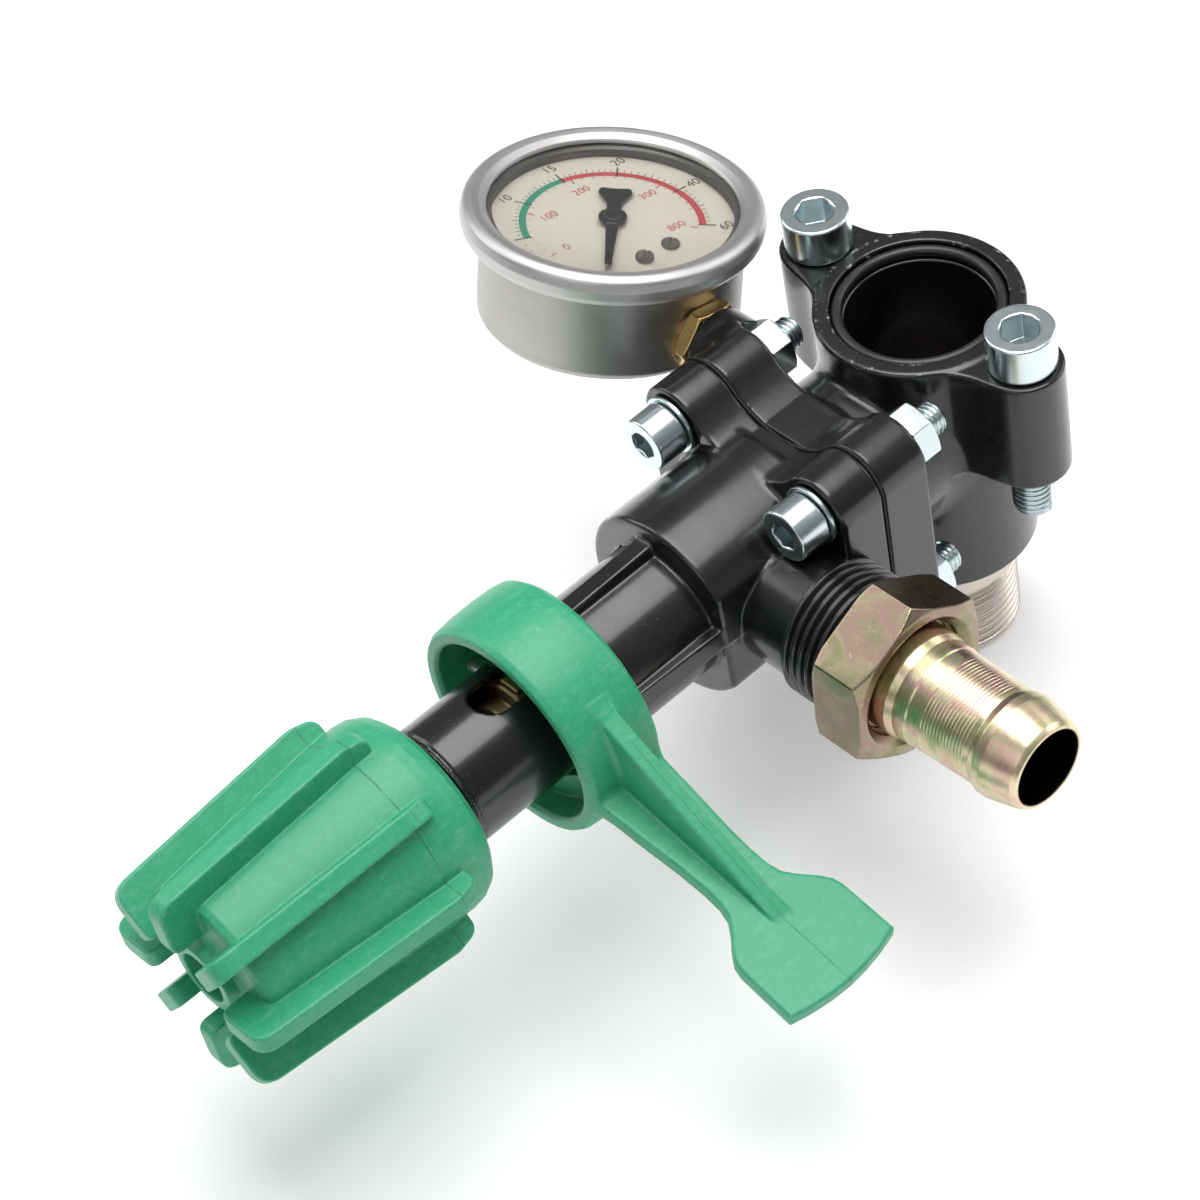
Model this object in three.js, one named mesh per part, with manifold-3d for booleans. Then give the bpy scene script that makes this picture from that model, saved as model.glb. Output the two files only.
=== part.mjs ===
// Spring-loaded pressure regulator for a sprayer pump, with a bypass lever, a pressure knob,
// a two-bolt inlet ring, a hose union and a liquid-filled gauge.
//
// Millimetres, +Z up. Three axes order the parts: the inlet ring's axis is Z through x = y = 0,
// the valve axis is Y through x = z = 0, and the hose axis is X through y = HOSE.y, z = 0.
// The whole assembly is lifted at the end so that it stands on z = 0, centred on the origin.

import * as THREE from 'three';
import { mergeVertices } from 'three/addons/utils/BufferGeometryUtils.js';
import Module from 'manifold-3d';

const wasm = await Module();
wasm.setup();

// ---- driving dimensions -------------------------------------------------------------------

const GAP = 0.3; // running or seating gap between neighbouring solids
const DEG = Math.PI / 180;

const RING = { r: 24, bore: 17.2, seat: 20.4, seatDepth: 3, top: 29.6, bottom: -41.3 };
const EAR = { x: 31.6, r: 9.4, bottom: -1.3, hole: 5.5 };
const CHAMBER_FLOOR = -14;
const NIPPLE = { root: 12.9, socket: 13.2, collar: 17.5, thread: 16.7, bore: 10.5, step: -50, tip: -72.3 };
const NECK = { r: 21.5, bore: 12 };
const FLANGE = { pitch: 22.3, lobe: 9.4, side: 31.7, hole: 4.4 };
const PLATE = { back: -31.3, front: -44.5 };
const GASKET = { back: -44.8, front: -45.4 };
const BONNET = { back: -45.7, face: -57.3, front: -85, r: 23.7, flatX: 19.3, cavity: 12.5, floor: -72 };
const BARREL = { r: 16.8, bore: 15.3, end: -121, ribR: 18.6, ribWidth: 5, ribEnd: -112, ribPhase: 9, ribs: 4 };
const PORT = { y: -65.3, neck: 15.2, thread: 16.7, bore: 11, threadStart: 32, end: 49.5 };
const M8 = { r: 3.95, head: 6.5, headH: 8, socket: 6, tip: -18.9, nutAF: 13, nutH: 6.5 };
const WASHER = { r: 7.3, hole: 4.3, t: 1 };
const M10 = { r: 4.95, head: 8, headH: 10, socket: 8, length: 45 };
const SPOTFACE_R = 7.9;
const GUIDE = { r: 8.3, end: -80 };

const SLEEVE = { r: 15, bore: 12.8, start: -102, wall: -152, end: -160, hole: 6.4, slotWidth: 10.5 };
const SLOT = { start: -113, end: -140 };
const PIN = { r: 2, y: -124, inner: 13.3, outer: 21.5 };
const SPRING = { mean: 10.2, wire: 1.7, start: -85.4, end: -125.6, turns: 6.5 };
const SPRING_NUT = { r: 12.4, start: -126, end: -136 };
const SPINDLE = { r: 6, start: -117, collar: 11.4, end: -213 };

const KNOB = { mouth: 16.1, front: -156, rim: 24.6, shoulder: -164, tail: 20.4, end: -216, hub: 9, fins: 8 };
const FIN = { phase: 5, thickness: 4.8, inner: 12.5, tip: -224 };
const LEVER = { back: -112.3, front: -133, r: 27.4, bore: 17.1, mouth: 23.2, shoulder: -121.7, angle: 13 };
const RAMP = { rise: 6, sweep: 95, lead: 3 };
const BLADE = { t: 4, neckR: 60, paddleR: 75.5, tipR: 91.5, bulge: 2, neckW: 7, paddleW: 15.3, rootW: 9.6 };

const HEX_UNION = { af: 37, back: 45, front: 59.1, lip: 53.8, bore: 14, thread: 17 };
const TAIL = { collar: 16.4, neck: 13.2, ring: 12.6, r: 11.7, bulb: 12.5, tip: 10.5, bore: 9.1, end: 96 };

const GAUGE = { x: -70.1, y: -27.4, z: 40.6, tilt: -14.6, r: 30.8, bezel: 35, depth: 27.7, stemDrop: 20.5 };
const BOSS = { y: -32.6, z: 20.8, r: 9.5, face: -34.2, end: -30.4, bore: 6.7, boreEnd: -28.6 };

// ---- solids -------------------------------------------------------------------------------

function solid(geometry) {
  const bare = geometry.clone();
  bare.deleteAttribute('normal');
  bare.deleteAttribute('uv');
  const merged = mergeVertices(bare, 1e-3);
  const corners = merged.index.array;
  const kept = [];
  for (let i = 0; i < corners.length; i += 3) {
    const [a, b, c] = corners.slice(i, i + 3);
    if (a !== b && b !== c && c !== a) kept.push(a, b, c);
  }
  const vertProperties = merged.attributes.position.array;
  return new wasm.Manifold(new wasm.Mesh({ numProp: 3, vertProperties, triVerts: new Uint32Array(kept) }));
}

function geometryOf(body) {
  const mesh = body.getMesh();
  const geometry = new THREE.BufferGeometry();
  geometry.setAttribute('position', new THREE.BufferAttribute(new Float32Array(mesh.vertProperties), 3));
  geometry.setIndex([...mesh.triVerts]);
  geometry.computeVertexNormals();
  return geometry;
}

const join = (first, ...rest) => rest.reduce((body, extra) => body.add(extra), first);
const cut = (first, ...tools) => tools.reduce((body, tool) => body.subtract(tool), first);

const alongX = (geometry) => geometry.rotateZ(-Math.PI / 2);
const alongZ = (geometry) => geometry.rotateX(Math.PI / 2);

// A turned solid about the Y axis: pairs of radius and station, closed on itself or on the axis.
function turnedGeometry(profile, segments = 28) {
  const loop = profile.map(([radius, station]) => new THREE.Vector2(radius, station));
  if (THREE.ShapeUtils.area(loop) < 0) loop.reverse();
  const onAxis = loop[0].x === 0 && loop[loop.length - 1].x === 0;
  if (!onAxis) loop.push(loop[0].clone());
  return new THREE.LatheGeometry(loop, segments);
}

const turned = (profile, segments) => solid(turnedGeometry(profile, segments));

const rod = (radius, from, to, segments = 28) => {
  const geometry = new THREE.CylinderGeometry(radius, radius, Math.abs(to - from), segments);
  return geometry.translate(0, (from + to) / 2, 0);
};

const rodY = (radius, from, to, x = 0, z = 0, segments = 28) =>
  solid(rod(radius, from, to, segments).translate(x, 0, z));
const rodX = (radius, from, to, y = 0, z = 0, segments = 28) =>
  solid(alongX(rod(radius, from, to, segments)).translate(0, y, z));
const rodZ = (radius, from, to, x = 0, y = 0, segments = 28) =>
  solid(alongZ(rod(radius, from, to, segments)).translate(x, y, 0));

// A straight prism of a shape drawn in x and z, standing between two stations on Y.
function prismY(shape, from, to, curveSegments = 6) {
  const depth = Math.abs(to - from);
  const geometry = new THREE.ExtrudeGeometry(shape, { depth, bevelEnabled: false, curveSegments });
  return solid(geometry.rotateX(Math.PI / 2).translate(0, Math.max(from, to), 0));
}

// A plate of a shape drawn in radius and y, centred on the plane through the valve axis that
// leans `degrees` from +X towards +Z.
function radialPlate(shape, thickness, degrees, curveSegments = 6) {
  const options = { depth: thickness, bevelEnabled: false, curveSegments };
  const geometry = new THREE.ExtrudeGeometry(shape, options).translate(0, 0, -thickness / 2);
  return solid(geometry.rotateY(-degrees * DEG));
}

function polygon(points) {
  return new THREE.Shape(points.map(([x, y]) => new THREE.Vector2(x, y)));
}

function hexagon(acrossFlats, turn = 0) {
  const corner = acrossFlats / Math.sqrt(3);
  const points = [];
  for (let k = 0; k < 6; k += 1) {
    const angle = turn + k * 60 * DEG;
    points.push([corner * Math.cos(angle), corner * Math.sin(angle)]);
  }
  return polygon(points);
}

function ringShape(outer, inner) {
  const shape = new THREE.Shape().absarc(0, 0, outer, 0, 2 * Math.PI);
  shape.holes.push(new THREE.Path().absarc(0, 0, inner, 0, 2 * Math.PI));
  return shape;
}

// ---- materials ----------------------------------------------------------------------------

const finish = (color, roughness, metalness, extra = {}) =>
  new THREE.MeshStandardMaterial({ color, roughness, metalness, ...extra });

const BLACK = finish('#17181a', 0.32, 0.35);
const GREEN = finish('#22a06c', 0.5, 0);
const ZINC = finish('#c9d3d6', 0.28, 1);
const YELLOW_ZINC = finish('#b9a468', 0.3, 1);
const BRASS = finish('#b8893c', 0.3, 1);
const NICKEL = finish('#bdb4aa', 0.35, 1);
const STEEL = finish('#b4b4b2', 0.3, 1);
const RUBBER = finish('#101010', 0.6, 0);
const DIAL = finish('#d9d4c2', 0.7, 0);
const GLASS = finish('#eef4f4', 0.05, 0, { transparent: true, opacity: 0.3 });
const FIBRE = finish('#3a3a36', 0.9, 0);

const regulator = new THREE.Group();

function place(name, body, material, parent = regulator) {
  const mesh = new THREE.Mesh(geometryOf(body), material);
  mesh.name = name;
  parent.add(mesh);
  return mesh;
}

// ---- castings -----------------------------------------------------------------------------

// Four round lobes on the screw centres, straight sides, and a hollow between the lobes at the
// top and bottom whose arc is tangent to both lobes.
function flangeOutline() {
  const { pitch, lobe, side } = FLANGE;
  const arcHeight = 41.4;
  const arcR = Math.hypot(pitch, arcHeight - pitch) - lobe;
  const lean = Math.atan2(arcHeight - pitch, pitch);
  const shape = new THREE.Shape();
  shape.moveTo(side, -pitch);
  shape.lineTo(side, pitch);
  shape.absarc(pitch, pitch, lobe, 0, Math.PI - lean, false);
  shape.absarc(0, arcHeight, arcR, -lean, lean - Math.PI, true);
  shape.absarc(-pitch, pitch, lobe, lean, Math.PI, false);
  shape.lineTo(-side, -pitch);
  shape.absarc(-pitch, -pitch, lobe, Math.PI, 2 * Math.PI - lean, false);
  shape.absarc(0, -arcHeight, arcR, Math.PI - lean, lean, true);
  shape.absarc(pitch, -pitch, lobe, Math.PI + lean, 2 * Math.PI, false);
  return shape;
}

const SCREW_CENTRES = [];
for (const z of [FLANGE.pitch, -FLANGE.pitch]) {
  for (const x of [-FLANGE.pitch, FLANGE.pitch]) SCREW_CENTRES.push([x, z]);
}

const screwHoles = (radius, from, to) => SCREW_CENTRES.map(([x, z]) => rodY(radius, from, to, x, z, 16));

// The web that ties one ear to the ring, drawn from above with hollow flanks.
function earWeb(side) {
  const shape = new THREE.Shape();
  shape.moveTo(side * EAR.x, EAR.r - 0.4);
  shape.quadraticCurveTo(side * 21, 9.4, side * 14.5, 19);
  shape.lineTo(side * 14.5, -19);
  shape.quadraticCurveTo(side * 21, -9.4, side * EAR.x, -EAR.r + 0.4);
  const depth = RING.top - EAR.bottom;
  const geometry = new THREE.ExtrudeGeometry(shape, { depth, bevelEnabled: false, curveSegments: 8 });
  return solid(geometry.translate(0, 0, EAR.bottom));
}

function manifoldBody() {
  const ring = alongZ(turnedGeometry([
    [0, RING.bottom], [RING.r - 2.2, RING.bottom], [RING.r - 1, RING.bottom + 1.5],
    [RING.r, RING.top - 0.8], [RING.r - 0.7, RING.top], [0, RING.top],
  ], 32));
  const ears = [-1, 1].map((side) => rodZ(EAR.r, EAR.bottom, RING.top, side * EAR.x, 0, 32));
  const boss = rodX(BOSS.r, BOSS.face, BOSS.end, BOSS.y, BOSS.z, 32);
  const passage = solid(rod(1.6, 0, 27, 12).rotateZ(-Math.PI / 2).rotateY(31 * DEG).translate(-30, -37, 18));
  const body = join(
    solid(ring), ...ears, earWeb(-1), earWeb(1),
    rodY(NECK.r, -8, PLATE.back - 1, 0, 0, 32),
    prismY(flangeOutline(), PLATE.back, PLATE.front), boss,
  );
  return cut(
    body,
    rodZ(RING.bore, CHAMBER_FLOOR, RING.top + 1, 0, 0, 32),
    rodZ(RING.seat, RING.top - RING.seatDepth, RING.top + 1, 0, 0, 32),
    rodZ(NIPPLE.socket, RING.bottom - 1, CHAMBER_FLOOR + 1, 0, 0, 28),
    rodY(NECK.bore, 0, PLATE.front - 1, 0, 0, 28),
    rodY(SEAT.r + GAP, PLATE.front - 1, SEAT.back + GAP, 0, 0, 28),
    ...screwHoles(FLANGE.hole, PLATE.back + 1, PLATE.front - 1),
    ...[-1, 1].map((side) => rodZ(EAR.hole, EAR.bottom - 1, RING.top + 1, side * EAR.x, 0, 16)),
    rodX(BOSS.bore, BOSS.face - 1, BOSS.boreEnd, BOSS.y, BOSS.z, 28),
    passage,
  );
}

function valveBonnet() {
  const shell = turned([
    [0, BONNET.face + 1], [BONNET.r, BONNET.face + 1], [BONNET.r, BONNET.front + 1.5],
    [BONNET.r - 1.5, BONNET.front], [0, BONNET.front],
  ], 32);
  const flat = solid(new THREE.BoxGeometry(20, 60, 60).translate(BONNET.flatX + 10, BONNET.face - 30.2, 0));
  const port = alongX(turnedGeometry([
    [0, 5], [PORT.neck, 5], [PORT.neck, PORT.threadStart], [PORT.thread, PORT.threadStart + 1.2],
    [PORT.thread, PORT.end - 1.2], [PORT.thread - 1.2, PORT.end], [0, PORT.end],
  ], 32)).translate(0, PORT.y, 0);
  const barrel = turned([
    [0, BONNET.front + 2], [BARREL.r + 1.6, BONNET.front], [BARREL.r, BONNET.front - 2.5],
    [BARREL.r, BARREL.end + 0.6], [BARREL.r - 0.6, BARREL.end], [0, BARREL.end],
  ], 32);
  const ribs = [];
  for (let k = 0; k < BARREL.ribs; k += 1) {
    const outline = polygon([
      [BARREL.bore + 0.8, BONNET.front + 1], [BARREL.ribR + 0.6, BONNET.front + 1],
      [BARREL.ribR, BARREL.ribEnd], [BARREL.bore + 0.8, BARREL.ribEnd],
    ]);
    ribs.push(radialPlate(outline, BARREL.ribWidth, BARREL.ribPhase + (k * 360) / BARREL.ribs));
  }
  const body = join(
    prismY(flangeOutline(), BONNET.back, BONNET.face), cut(shell, flat), solid(port), barrel, ...ribs,
  );
  return cut(
    body,
    rodY(BONNET.cavity, BONNET.back + 1, BONNET.floor, 0, 0, 28),
    rodX(PORT.bore, 0, PORT.end + 1, PORT.y, 0, 32),
    rodY(GUIDE.r, BONNET.floor + 1, GUIDE.end - 1, 0, 0, 32),
    rodY(BARREL.bore, GUIDE.end, BARREL.end - 1, 0, 0, 32),
    ...screwHoles(FLANGE.hole, BONNET.back + 1, BONNET.face - 1),
    ...screwHoles(SPOTFACE_R, BONNET.face, BONNET.face - 12),
  );
}

const SEAT = { r: 13.9, bore: 8, back: -39.6, front: -45.4 };

place('manifold_body', manifoldBody(), BLACK);
place('valve_bonnet', valveBonnet(), BLACK);
place('bonnet_gasket', cut(
  prismY(flangeOutline(), GASKET.back, GASKET.front),
  rodY(SEAT.r + 2 * GAP, GASKET.back + 1, GASKET.front - 1, 0, 0, 28),
  ...screwHoles(FLANGE.hole, GASKET.back + 1, GASKET.front - 1),
), FIBRE);

// ---- fasteners ----------------------------------------------------------------------------

// A socket head screw along -Y from the top of its head, head first.
function socketScrew(size, length) {
  const edge = 0.6;
  const body = turned([
    [0, 0], [size.head - edge, 0], [size.head, -edge], [size.head, -size.headH],
    [size.r, -size.headH], [size.r, edge - size.headH - length],
    [size.r - edge, -size.headH - length], [0, -size.headH - length],
  ], 28);
  return body.subtract(prismY(hexagon(size.socket, 12 * DEG), 1, -size.headH * 0.55));
}

function hexNut(acrossFlats, height, hole, turn = 0) {
  const corner = acrossFlats / Math.sqrt(3);
  const rounding = turned([
    [0, 0], [acrossFlats / 2, 0], [corner + 0.1, -(corner - acrossFlats / 2) * 0.6],
    [corner + 0.1, (corner - acrossFlats / 2) * 0.6 - height], [acrossFlats / 2, -height], [0, -height],
  ], 32);
  const prism = prismY(hexagon(acrossFlats, turn), 0, -height);
  return prism.intersect(rounding).subtract(rodY(hole, 1, -height - 1, 0, 0, 16));
}

const NUT_TURNS = [36, 49, 10, 50];

SCREW_CENTRES.forEach(([x, z], k) => {
  const headTop = BONNET.face - GAP - WASHER.t - GAP - M8.headH;
  const screw = place(`bonnet_screw_${k + 1}`, socketScrew(M8, M8.tip - headTop - M8.headH), ZINC);
  screw.rotation.set(Math.PI, 0, 0);
  screw.position.set(x, headTop, z);
  const washer = turned([
    [WASHER.hole, 0], [WASHER.r, 0], [WASHER.r, -WASHER.t], [WASHER.hole, -WASHER.t],
  ], 28);
  place(`bonnet_washer_${k + 1}`, washer, ZINC).position.set(x, BONNET.face - GAP, z);
  const nut = place(`bonnet_nut_${k + 1}`, hexNut(M8.nutAF, M8.nutH, M8.r + GAP, NUT_TURNS[k] * DEG), ZINC);
  nut.position.set(x, PLATE.back + GAP + M8.nutH, z);
});

for (const [name, side] of [['left', -1], ['right', 1]]) {
  const screw = place(`ring_screw_${name}`, socketScrew(M10, M10.length), ZINC);
  screw.rotation.set(Math.PI / 2, 0, 0);
  screw.position.set(side * EAR.x, 0, RING.top + GAP + M10.headH);
}

// ---- inlet ring and outlet nipple ---------------------------------------------------------

const torusRing = (radius, section, segments = 28) =>
  solid(new THREE.TorusGeometry(radius, section, 8, segments));

place('inlet_oring', torusRing(18.8, 1.3), RUBBER).position.z = RING.top - RING.seatDepth + 1.3 + GAP;

place('outlet_nipple', solid(alongZ(turnedGeometry([
  [NIPPLE.bore, CHAMBER_FLOOR - 3], [NIPPLE.root, CHAMBER_FLOOR - 3],
  [NIPPLE.root, RING.bottom - GAP], [NIPPLE.collar, RING.bottom - GAP],
  [NIPPLE.collar, NIPPLE.step], [NIPPLE.thread, NIPPLE.step - 1],
  [NIPPLE.thread, NIPPLE.tip + 1.2], [NIPPLE.thread - 1.2, NIPPLE.tip], [NIPPLE.bore, NIPPLE.tip],
]))), NICKEL);

// ---- valve train, along the valve axis ----------------------------------------------------

place('valve_seat', turned([
  [SEAT.bore, SEAT.back], [SEAT.r, SEAT.back], [SEAT.r, SEAT.front],
  [SEAT.bore + 1.4, SEAT.front], [SEAT.bore, SEAT.front + 1.4],
], 32), STEEL);

place('valve_poppet', turned([
  [0, -41], [4.5, -41.6], [7.2, -44], [7.2, -45.7], [10.4, -45.7], [10.4, -48.6],
  [4, -52], [4, -72.4], [8, -72.4], [8, -74.8], [6, -74.8], [6, -77.2], [8, -77.2],
  [8, -79.6], [4, -79.6], [4, -82.2], [0, -82.2],
], 28), STEEL);

place('poppet_oring', solid(new THREE.TorusGeometry(7.2, 0.9, 6, 20).rotateX(Math.PI / 2)), RUBBER)
  .position.y = -76;

place('spring_plate', turned([
  [0, -82.5], [14.6, -82.5], [14.6, -85], [7.4, -85], [7.4, -88], [0, -88],
], 32), STEEL);

class Helix extends THREE.Curve {
  constructor(radius, from, to, turns) {
    super();
    Object.assign(this, { radius, from, to, turns });
  }

  getPoint(t, target = new THREE.Vector3()) {
    const angle = t * this.turns * 2 * Math.PI;
    const station = this.from + t * (this.to - this.from);
    return target.set(this.radius * Math.cos(angle), station, this.radius * Math.sin(angle));
  }
}

function sweep(path, width, height, sides, steps) {
  const points = [];
  for (let k = 0; k < sides; k += 1) {
    const angle = (k * 2 * Math.PI) / sides;
    points.push([width * Math.cos(angle), height * Math.sin(angle)]);
  }
  return solid(new THREE.ExtrudeGeometry(polygon(points), { steps, extrudePath: path, bevelEnabled: false }));
}

const springPath = new Helix(SPRING.mean, SPRING.start - SPRING.wire, SPRING.end + SPRING.wire, SPRING.turns);
place('main_spring', sweep(springPath, SPRING.wire, SPRING.wire, 6, 96), STEEL);

// The nut's lug rides in the sleeve's slot, so that turning the spindle moves the nut along it.
place('spring_nut', join(
  turned([
    [SPINDLE.r + GAP, SPRING_NUT.start], [SPRING_NUT.r, SPRING_NUT.start],
    [SPRING_NUT.r, SPRING_NUT.end], [SPINDLE.r + GAP, SPRING_NUT.end],
  ], 32),
  solid(new THREE.BoxGeometry(7, 4.5, 4).translate(0, SPRING_NUT.start - 2.25, SPRING_NUT.r)),
), BRASS);

place('spindle', turned([
  [0, SPINDLE.start], [SPINDLE.r - 0.8, SPINDLE.start], [SPINDLE.r, SPINDLE.start - 0.8],
  [SPINDLE.r, -148.5], [SPINDLE.collar, -148.5], [SPINDLE.collar, SLEEVE.wall + GAP],
  [SPINDLE.r, SLEEVE.wall + GAP], [SPINDLE.r, SPINDLE.end + 0.8],
  [SPINDLE.r - 0.8, SPINDLE.end], [0, SPINDLE.end],
], 28), BRASS);

function adjustingSleeve() {
  const tube = turned([
    [SLEEVE.bore, SLEEVE.start], [SLEEVE.r, SLEEVE.start], [SLEEVE.r, -154.6], [14, -154.6],
    [14, -157.4], [SLEEVE.r, -157.4], [SLEEVE.r, SLEEVE.end], [SLEEVE.hole, SLEEVE.end],
    [SLEEVE.hole, SLEEVE.wall], [SLEEVE.bore, SLEEVE.wall],
  ]);
  const half = SLEEVE.slotWidth / 2;
  const outline = new THREE.Shape();
  outline.moveTo(-half, SLOT.start - half);
  outline.lineTo(-half, SLOT.end + half);
  outline.absarc(0, SLOT.end + half, half, Math.PI, 2 * Math.PI, false);
  outline.lineTo(half, SLOT.start - half);
  outline.absarc(0, SLOT.start - half, half, 0, Math.PI, false);
  const slot = new THREE.ExtrudeGeometry(outline, { depth: 12, bevelEnabled: false, curveSegments: 8 });
  return cut(
    tube, solid(slot.translate(0, 0, 6)),
    rodX(PIN.r + GAP, -20, -8, PIN.y, 0, 20), rodX(PIN.r + GAP, 8, 20, PIN.y, 0, 20),
  );
}

place('adjusting_sleeve', adjustingSleeve(), BLACK);
place('cam_pin_left', rodX(PIN.r, -PIN.outer, -PIN.inner, PIN.y, 0, 20), STEEL);
place('cam_pin_right', rodX(PIN.r, PIN.inner, PIN.outer, PIN.y, 0, 20), STEEL);
place('knob_seal', solid(new THREE.TorusGeometry(15, 0.75, 6, 28).rotateX(Math.PI / 2)), RUBBER)
  .position.y = -156;

// ---- bypass lever -------------------------------------------------------------------------

// A ring sector whose outer end rises along -Y as it turns back from `start`, in degrees.
function camRamp(start) {
  const steps = 10;
  const inner = LEVER.bore + 0.6;
  const outer = LEVER.mouth + 0.8;
  const base = LEVER.shoulder + 2;
  const points = [];
  for (let k = 0; k <= steps; k += 1) {
    const angle = (start - RAMP.lead - (k * RAMP.sweep) / steps) * DEG;
    const top = LEVER.shoulder - 0.05 - (k * RAMP.rise) / steps;
    for (const [radius, station] of [[inner, base], [outer, base], [outer, top], [inner, top]]) {
      points.push(radius * Math.cos(angle), station, radius * Math.sin(angle));
    }
  }
  const faces = [0, 2, 1, 0, 3, 2];
  for (let k = 0; k < steps; k += 1) {
    for (let side = 0; side < 4; side += 1) {
      const here = 4 * k + side;
      const next = 4 * k + ((side + 1) % 4);
      faces.push(here, next + 4, here + 4, here, next, next + 4);
    }
  }
  const last = 4 * steps;
  faces.push(last, last + 1, last + 2, last, last + 2, last + 3);
  const geometry = new THREE.BufferGeometry();
  geometry.setAttribute('position', new THREE.Float32BufferAttribute(points, 3));
  geometry.setIndex(faces);
  return solid(geometry);
}

function leverBlade() {
  const middle = (LEVER.back + LEVER.front) / 2;
  const { neckR, paddleR, tipR, bulge, neckW, paddleW, rootW } = BLADE;
  const root = LEVER.mouth + 1.2;
  const shape = new THREE.Shape();
  shape.moveTo(root, middle - rootW);
  shape.quadraticCurveTo(40, middle - 8.2, neckR, middle - neckW);
  shape.quadraticCurveTo(neckR + 7, middle - neckW - 0.6, paddleR, middle - paddleW);
  shape.lineTo(tipR, middle - paddleW - 0.2);
  shape.quadraticCurveTo(tipR + 2 * bulge, middle, tipR, middle + paddleW + 0.2);
  shape.lineTo(paddleR, middle + paddleW);
  shape.quadraticCurveTo(neckR + 7, middle + neckW + 0.6, neckR, middle + neckW);
  shape.quadraticCurveTo(40, middle + 8.2, root, middle + rootW);
  return radialPlate(shape, BLADE.t, -LEVER.angle, 8);
}

// The stiffening fin stands square to the blade, from the ring's flank to the paddle.
function leverFin() {
  const outline = polygon([[17.2, 21], [73.5, 2.2], [73.5, -2.2], [17.2, -21]]);
  const blank = prismY(outline, -120.3, -124.9);
  return blank.rotate([0, LEVER.angle, 0]);
}

function bypassLever() {
  const hub = turned([
    [LEVER.bore, LEVER.back], [LEVER.r - 1.2, LEVER.back], [LEVER.r, LEVER.back - 2.6],
    [LEVER.r + 0.3, LEVER.back - 8], [LEVER.r, LEVER.front + 2], [LEVER.r - 0.8, LEVER.front],
    [LEVER.mouth, LEVER.front], [LEVER.mouth, LEVER.shoulder], [LEVER.bore, LEVER.shoulder],
  ], 32);
  const clearance = join(
    rodY(LEVER.mouth, LEVER.front - 5, LEVER.shoulder, 0, 0, 32),
    rodY(LEVER.bore, LEVER.front - 5, LEVER.back + 5, 0, 0, 32),
  );
  const blank = cut(join(hub, leverBlade(), leverFin()), clearance);
  return join(blank, camRamp(0), camRamp(180));
}

place('bypass_lever', bypassLever(), GREEN);

// ---- pressure knob ------------------------------------------------------------------------

function pressureKnob() {
  const core = turned([
    [0, -161.5], [KNOB.mouth, -161.5], [KNOB.mouth, KNOB.front], [KNOB.mouth + 1.6, KNOB.front],
    [20.6, KNOB.front - 0.9], [23.2, KNOB.front - 2.8], [KNOB.rim, KNOB.front - 5.4],
    [KNOB.rim, KNOB.shoulder], [KNOB.tail, KNOB.end + 2], [KNOB.tail - 2, KNOB.end],
    [KNOB.hub, KNOB.end], [KNOB.hub, KNOB.end - 3], [0, KNOB.end - 3],
  ], 32);
  const fins = [];
  for (let k = 0; k < KNOB.fins; k += 1) {
    const outline = new THREE.Shape();
    outline.moveTo(18, -166.5);
    outline.lineTo(26, -166.2);
    outline.quadraticCurveTo(29.4, -166.8, 29.8, -171.5);
    outline.lineTo(26.2, FIN.tip + 7);
    outline.quadraticCurveTo(25, FIN.tip, 20.5, FIN.tip);
    outline.lineTo(FIN.inner + 2.5, FIN.tip);
    outline.quadraticCurveTo(FIN.inner, FIN.tip, FIN.inner, FIN.tip + 4);
    outline.lineTo(FIN.inner, KNOB.end + 4);
    outline.lineTo(18, KNOB.end + 6);
    fins.push(radialPlate(outline, FIN.thickness, FIN.phase + (k * 360) / KNOB.fins, 4));
  }
  return cut(
    join(core, ...fins),
    rodY(SPINDLE.r + GAP, -161, -225, 0, 0, 28),
    prismY(hexagon(14), -208, -225),
  );
}

place('pressure_knob', pressureKnob(), GREEN);
const knobNut = place('knob_nut', hexNut(13.3, 4.4, SPINDLE.r + GAP), ZINC);
knobNut.position.y = -208.3;

// ---- hose union ---------------------------------------------------------------------------

function unionNut() {
  const prism = solid(alongX(new THREE.ExtrudeGeometry(hexagon(HEX_UNION.af, 26 * DEG), {
    depth: HEX_UNION.front - HEX_UNION.back, bevelEnabled: false,
  }).rotateX(-Math.PI / 2)));
  const length = HEX_UNION.front - HEX_UNION.back;
  const corner = HEX_UNION.af / Math.sqrt(3) + 0.1;
  const flat = HEX_UNION.af / 2;
  const rounding = solid(alongX(turnedGeometry([
    [0, 0], [flat + 1, 0], [corner, 1], [corner, length - 2], [flat - 0.2, length], [0, length],
  ], 32)));
  const lip = HEX_UNION.lip - HEX_UNION.back;
  return cut(
    prism.intersect(rounding),
    rodX(HEX_UNION.thread, -1, lip, 0, 0, 32),
    rodX(HEX_UNION.bore, 0, length + 1, 0, 0, 28),
    solid(alongX(turnedGeometry([[0, length - 1.6], [HEX_UNION.bore, length - 1.6],
      [HEX_UNION.bore + 2.2, length + 0.6], [0, length + 0.6]], 28))),
  );
}

place('union_nut', unionNut(), YELLOW_ZINC).position.set(HEX_UNION.back, PORT.y, 0);

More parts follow.
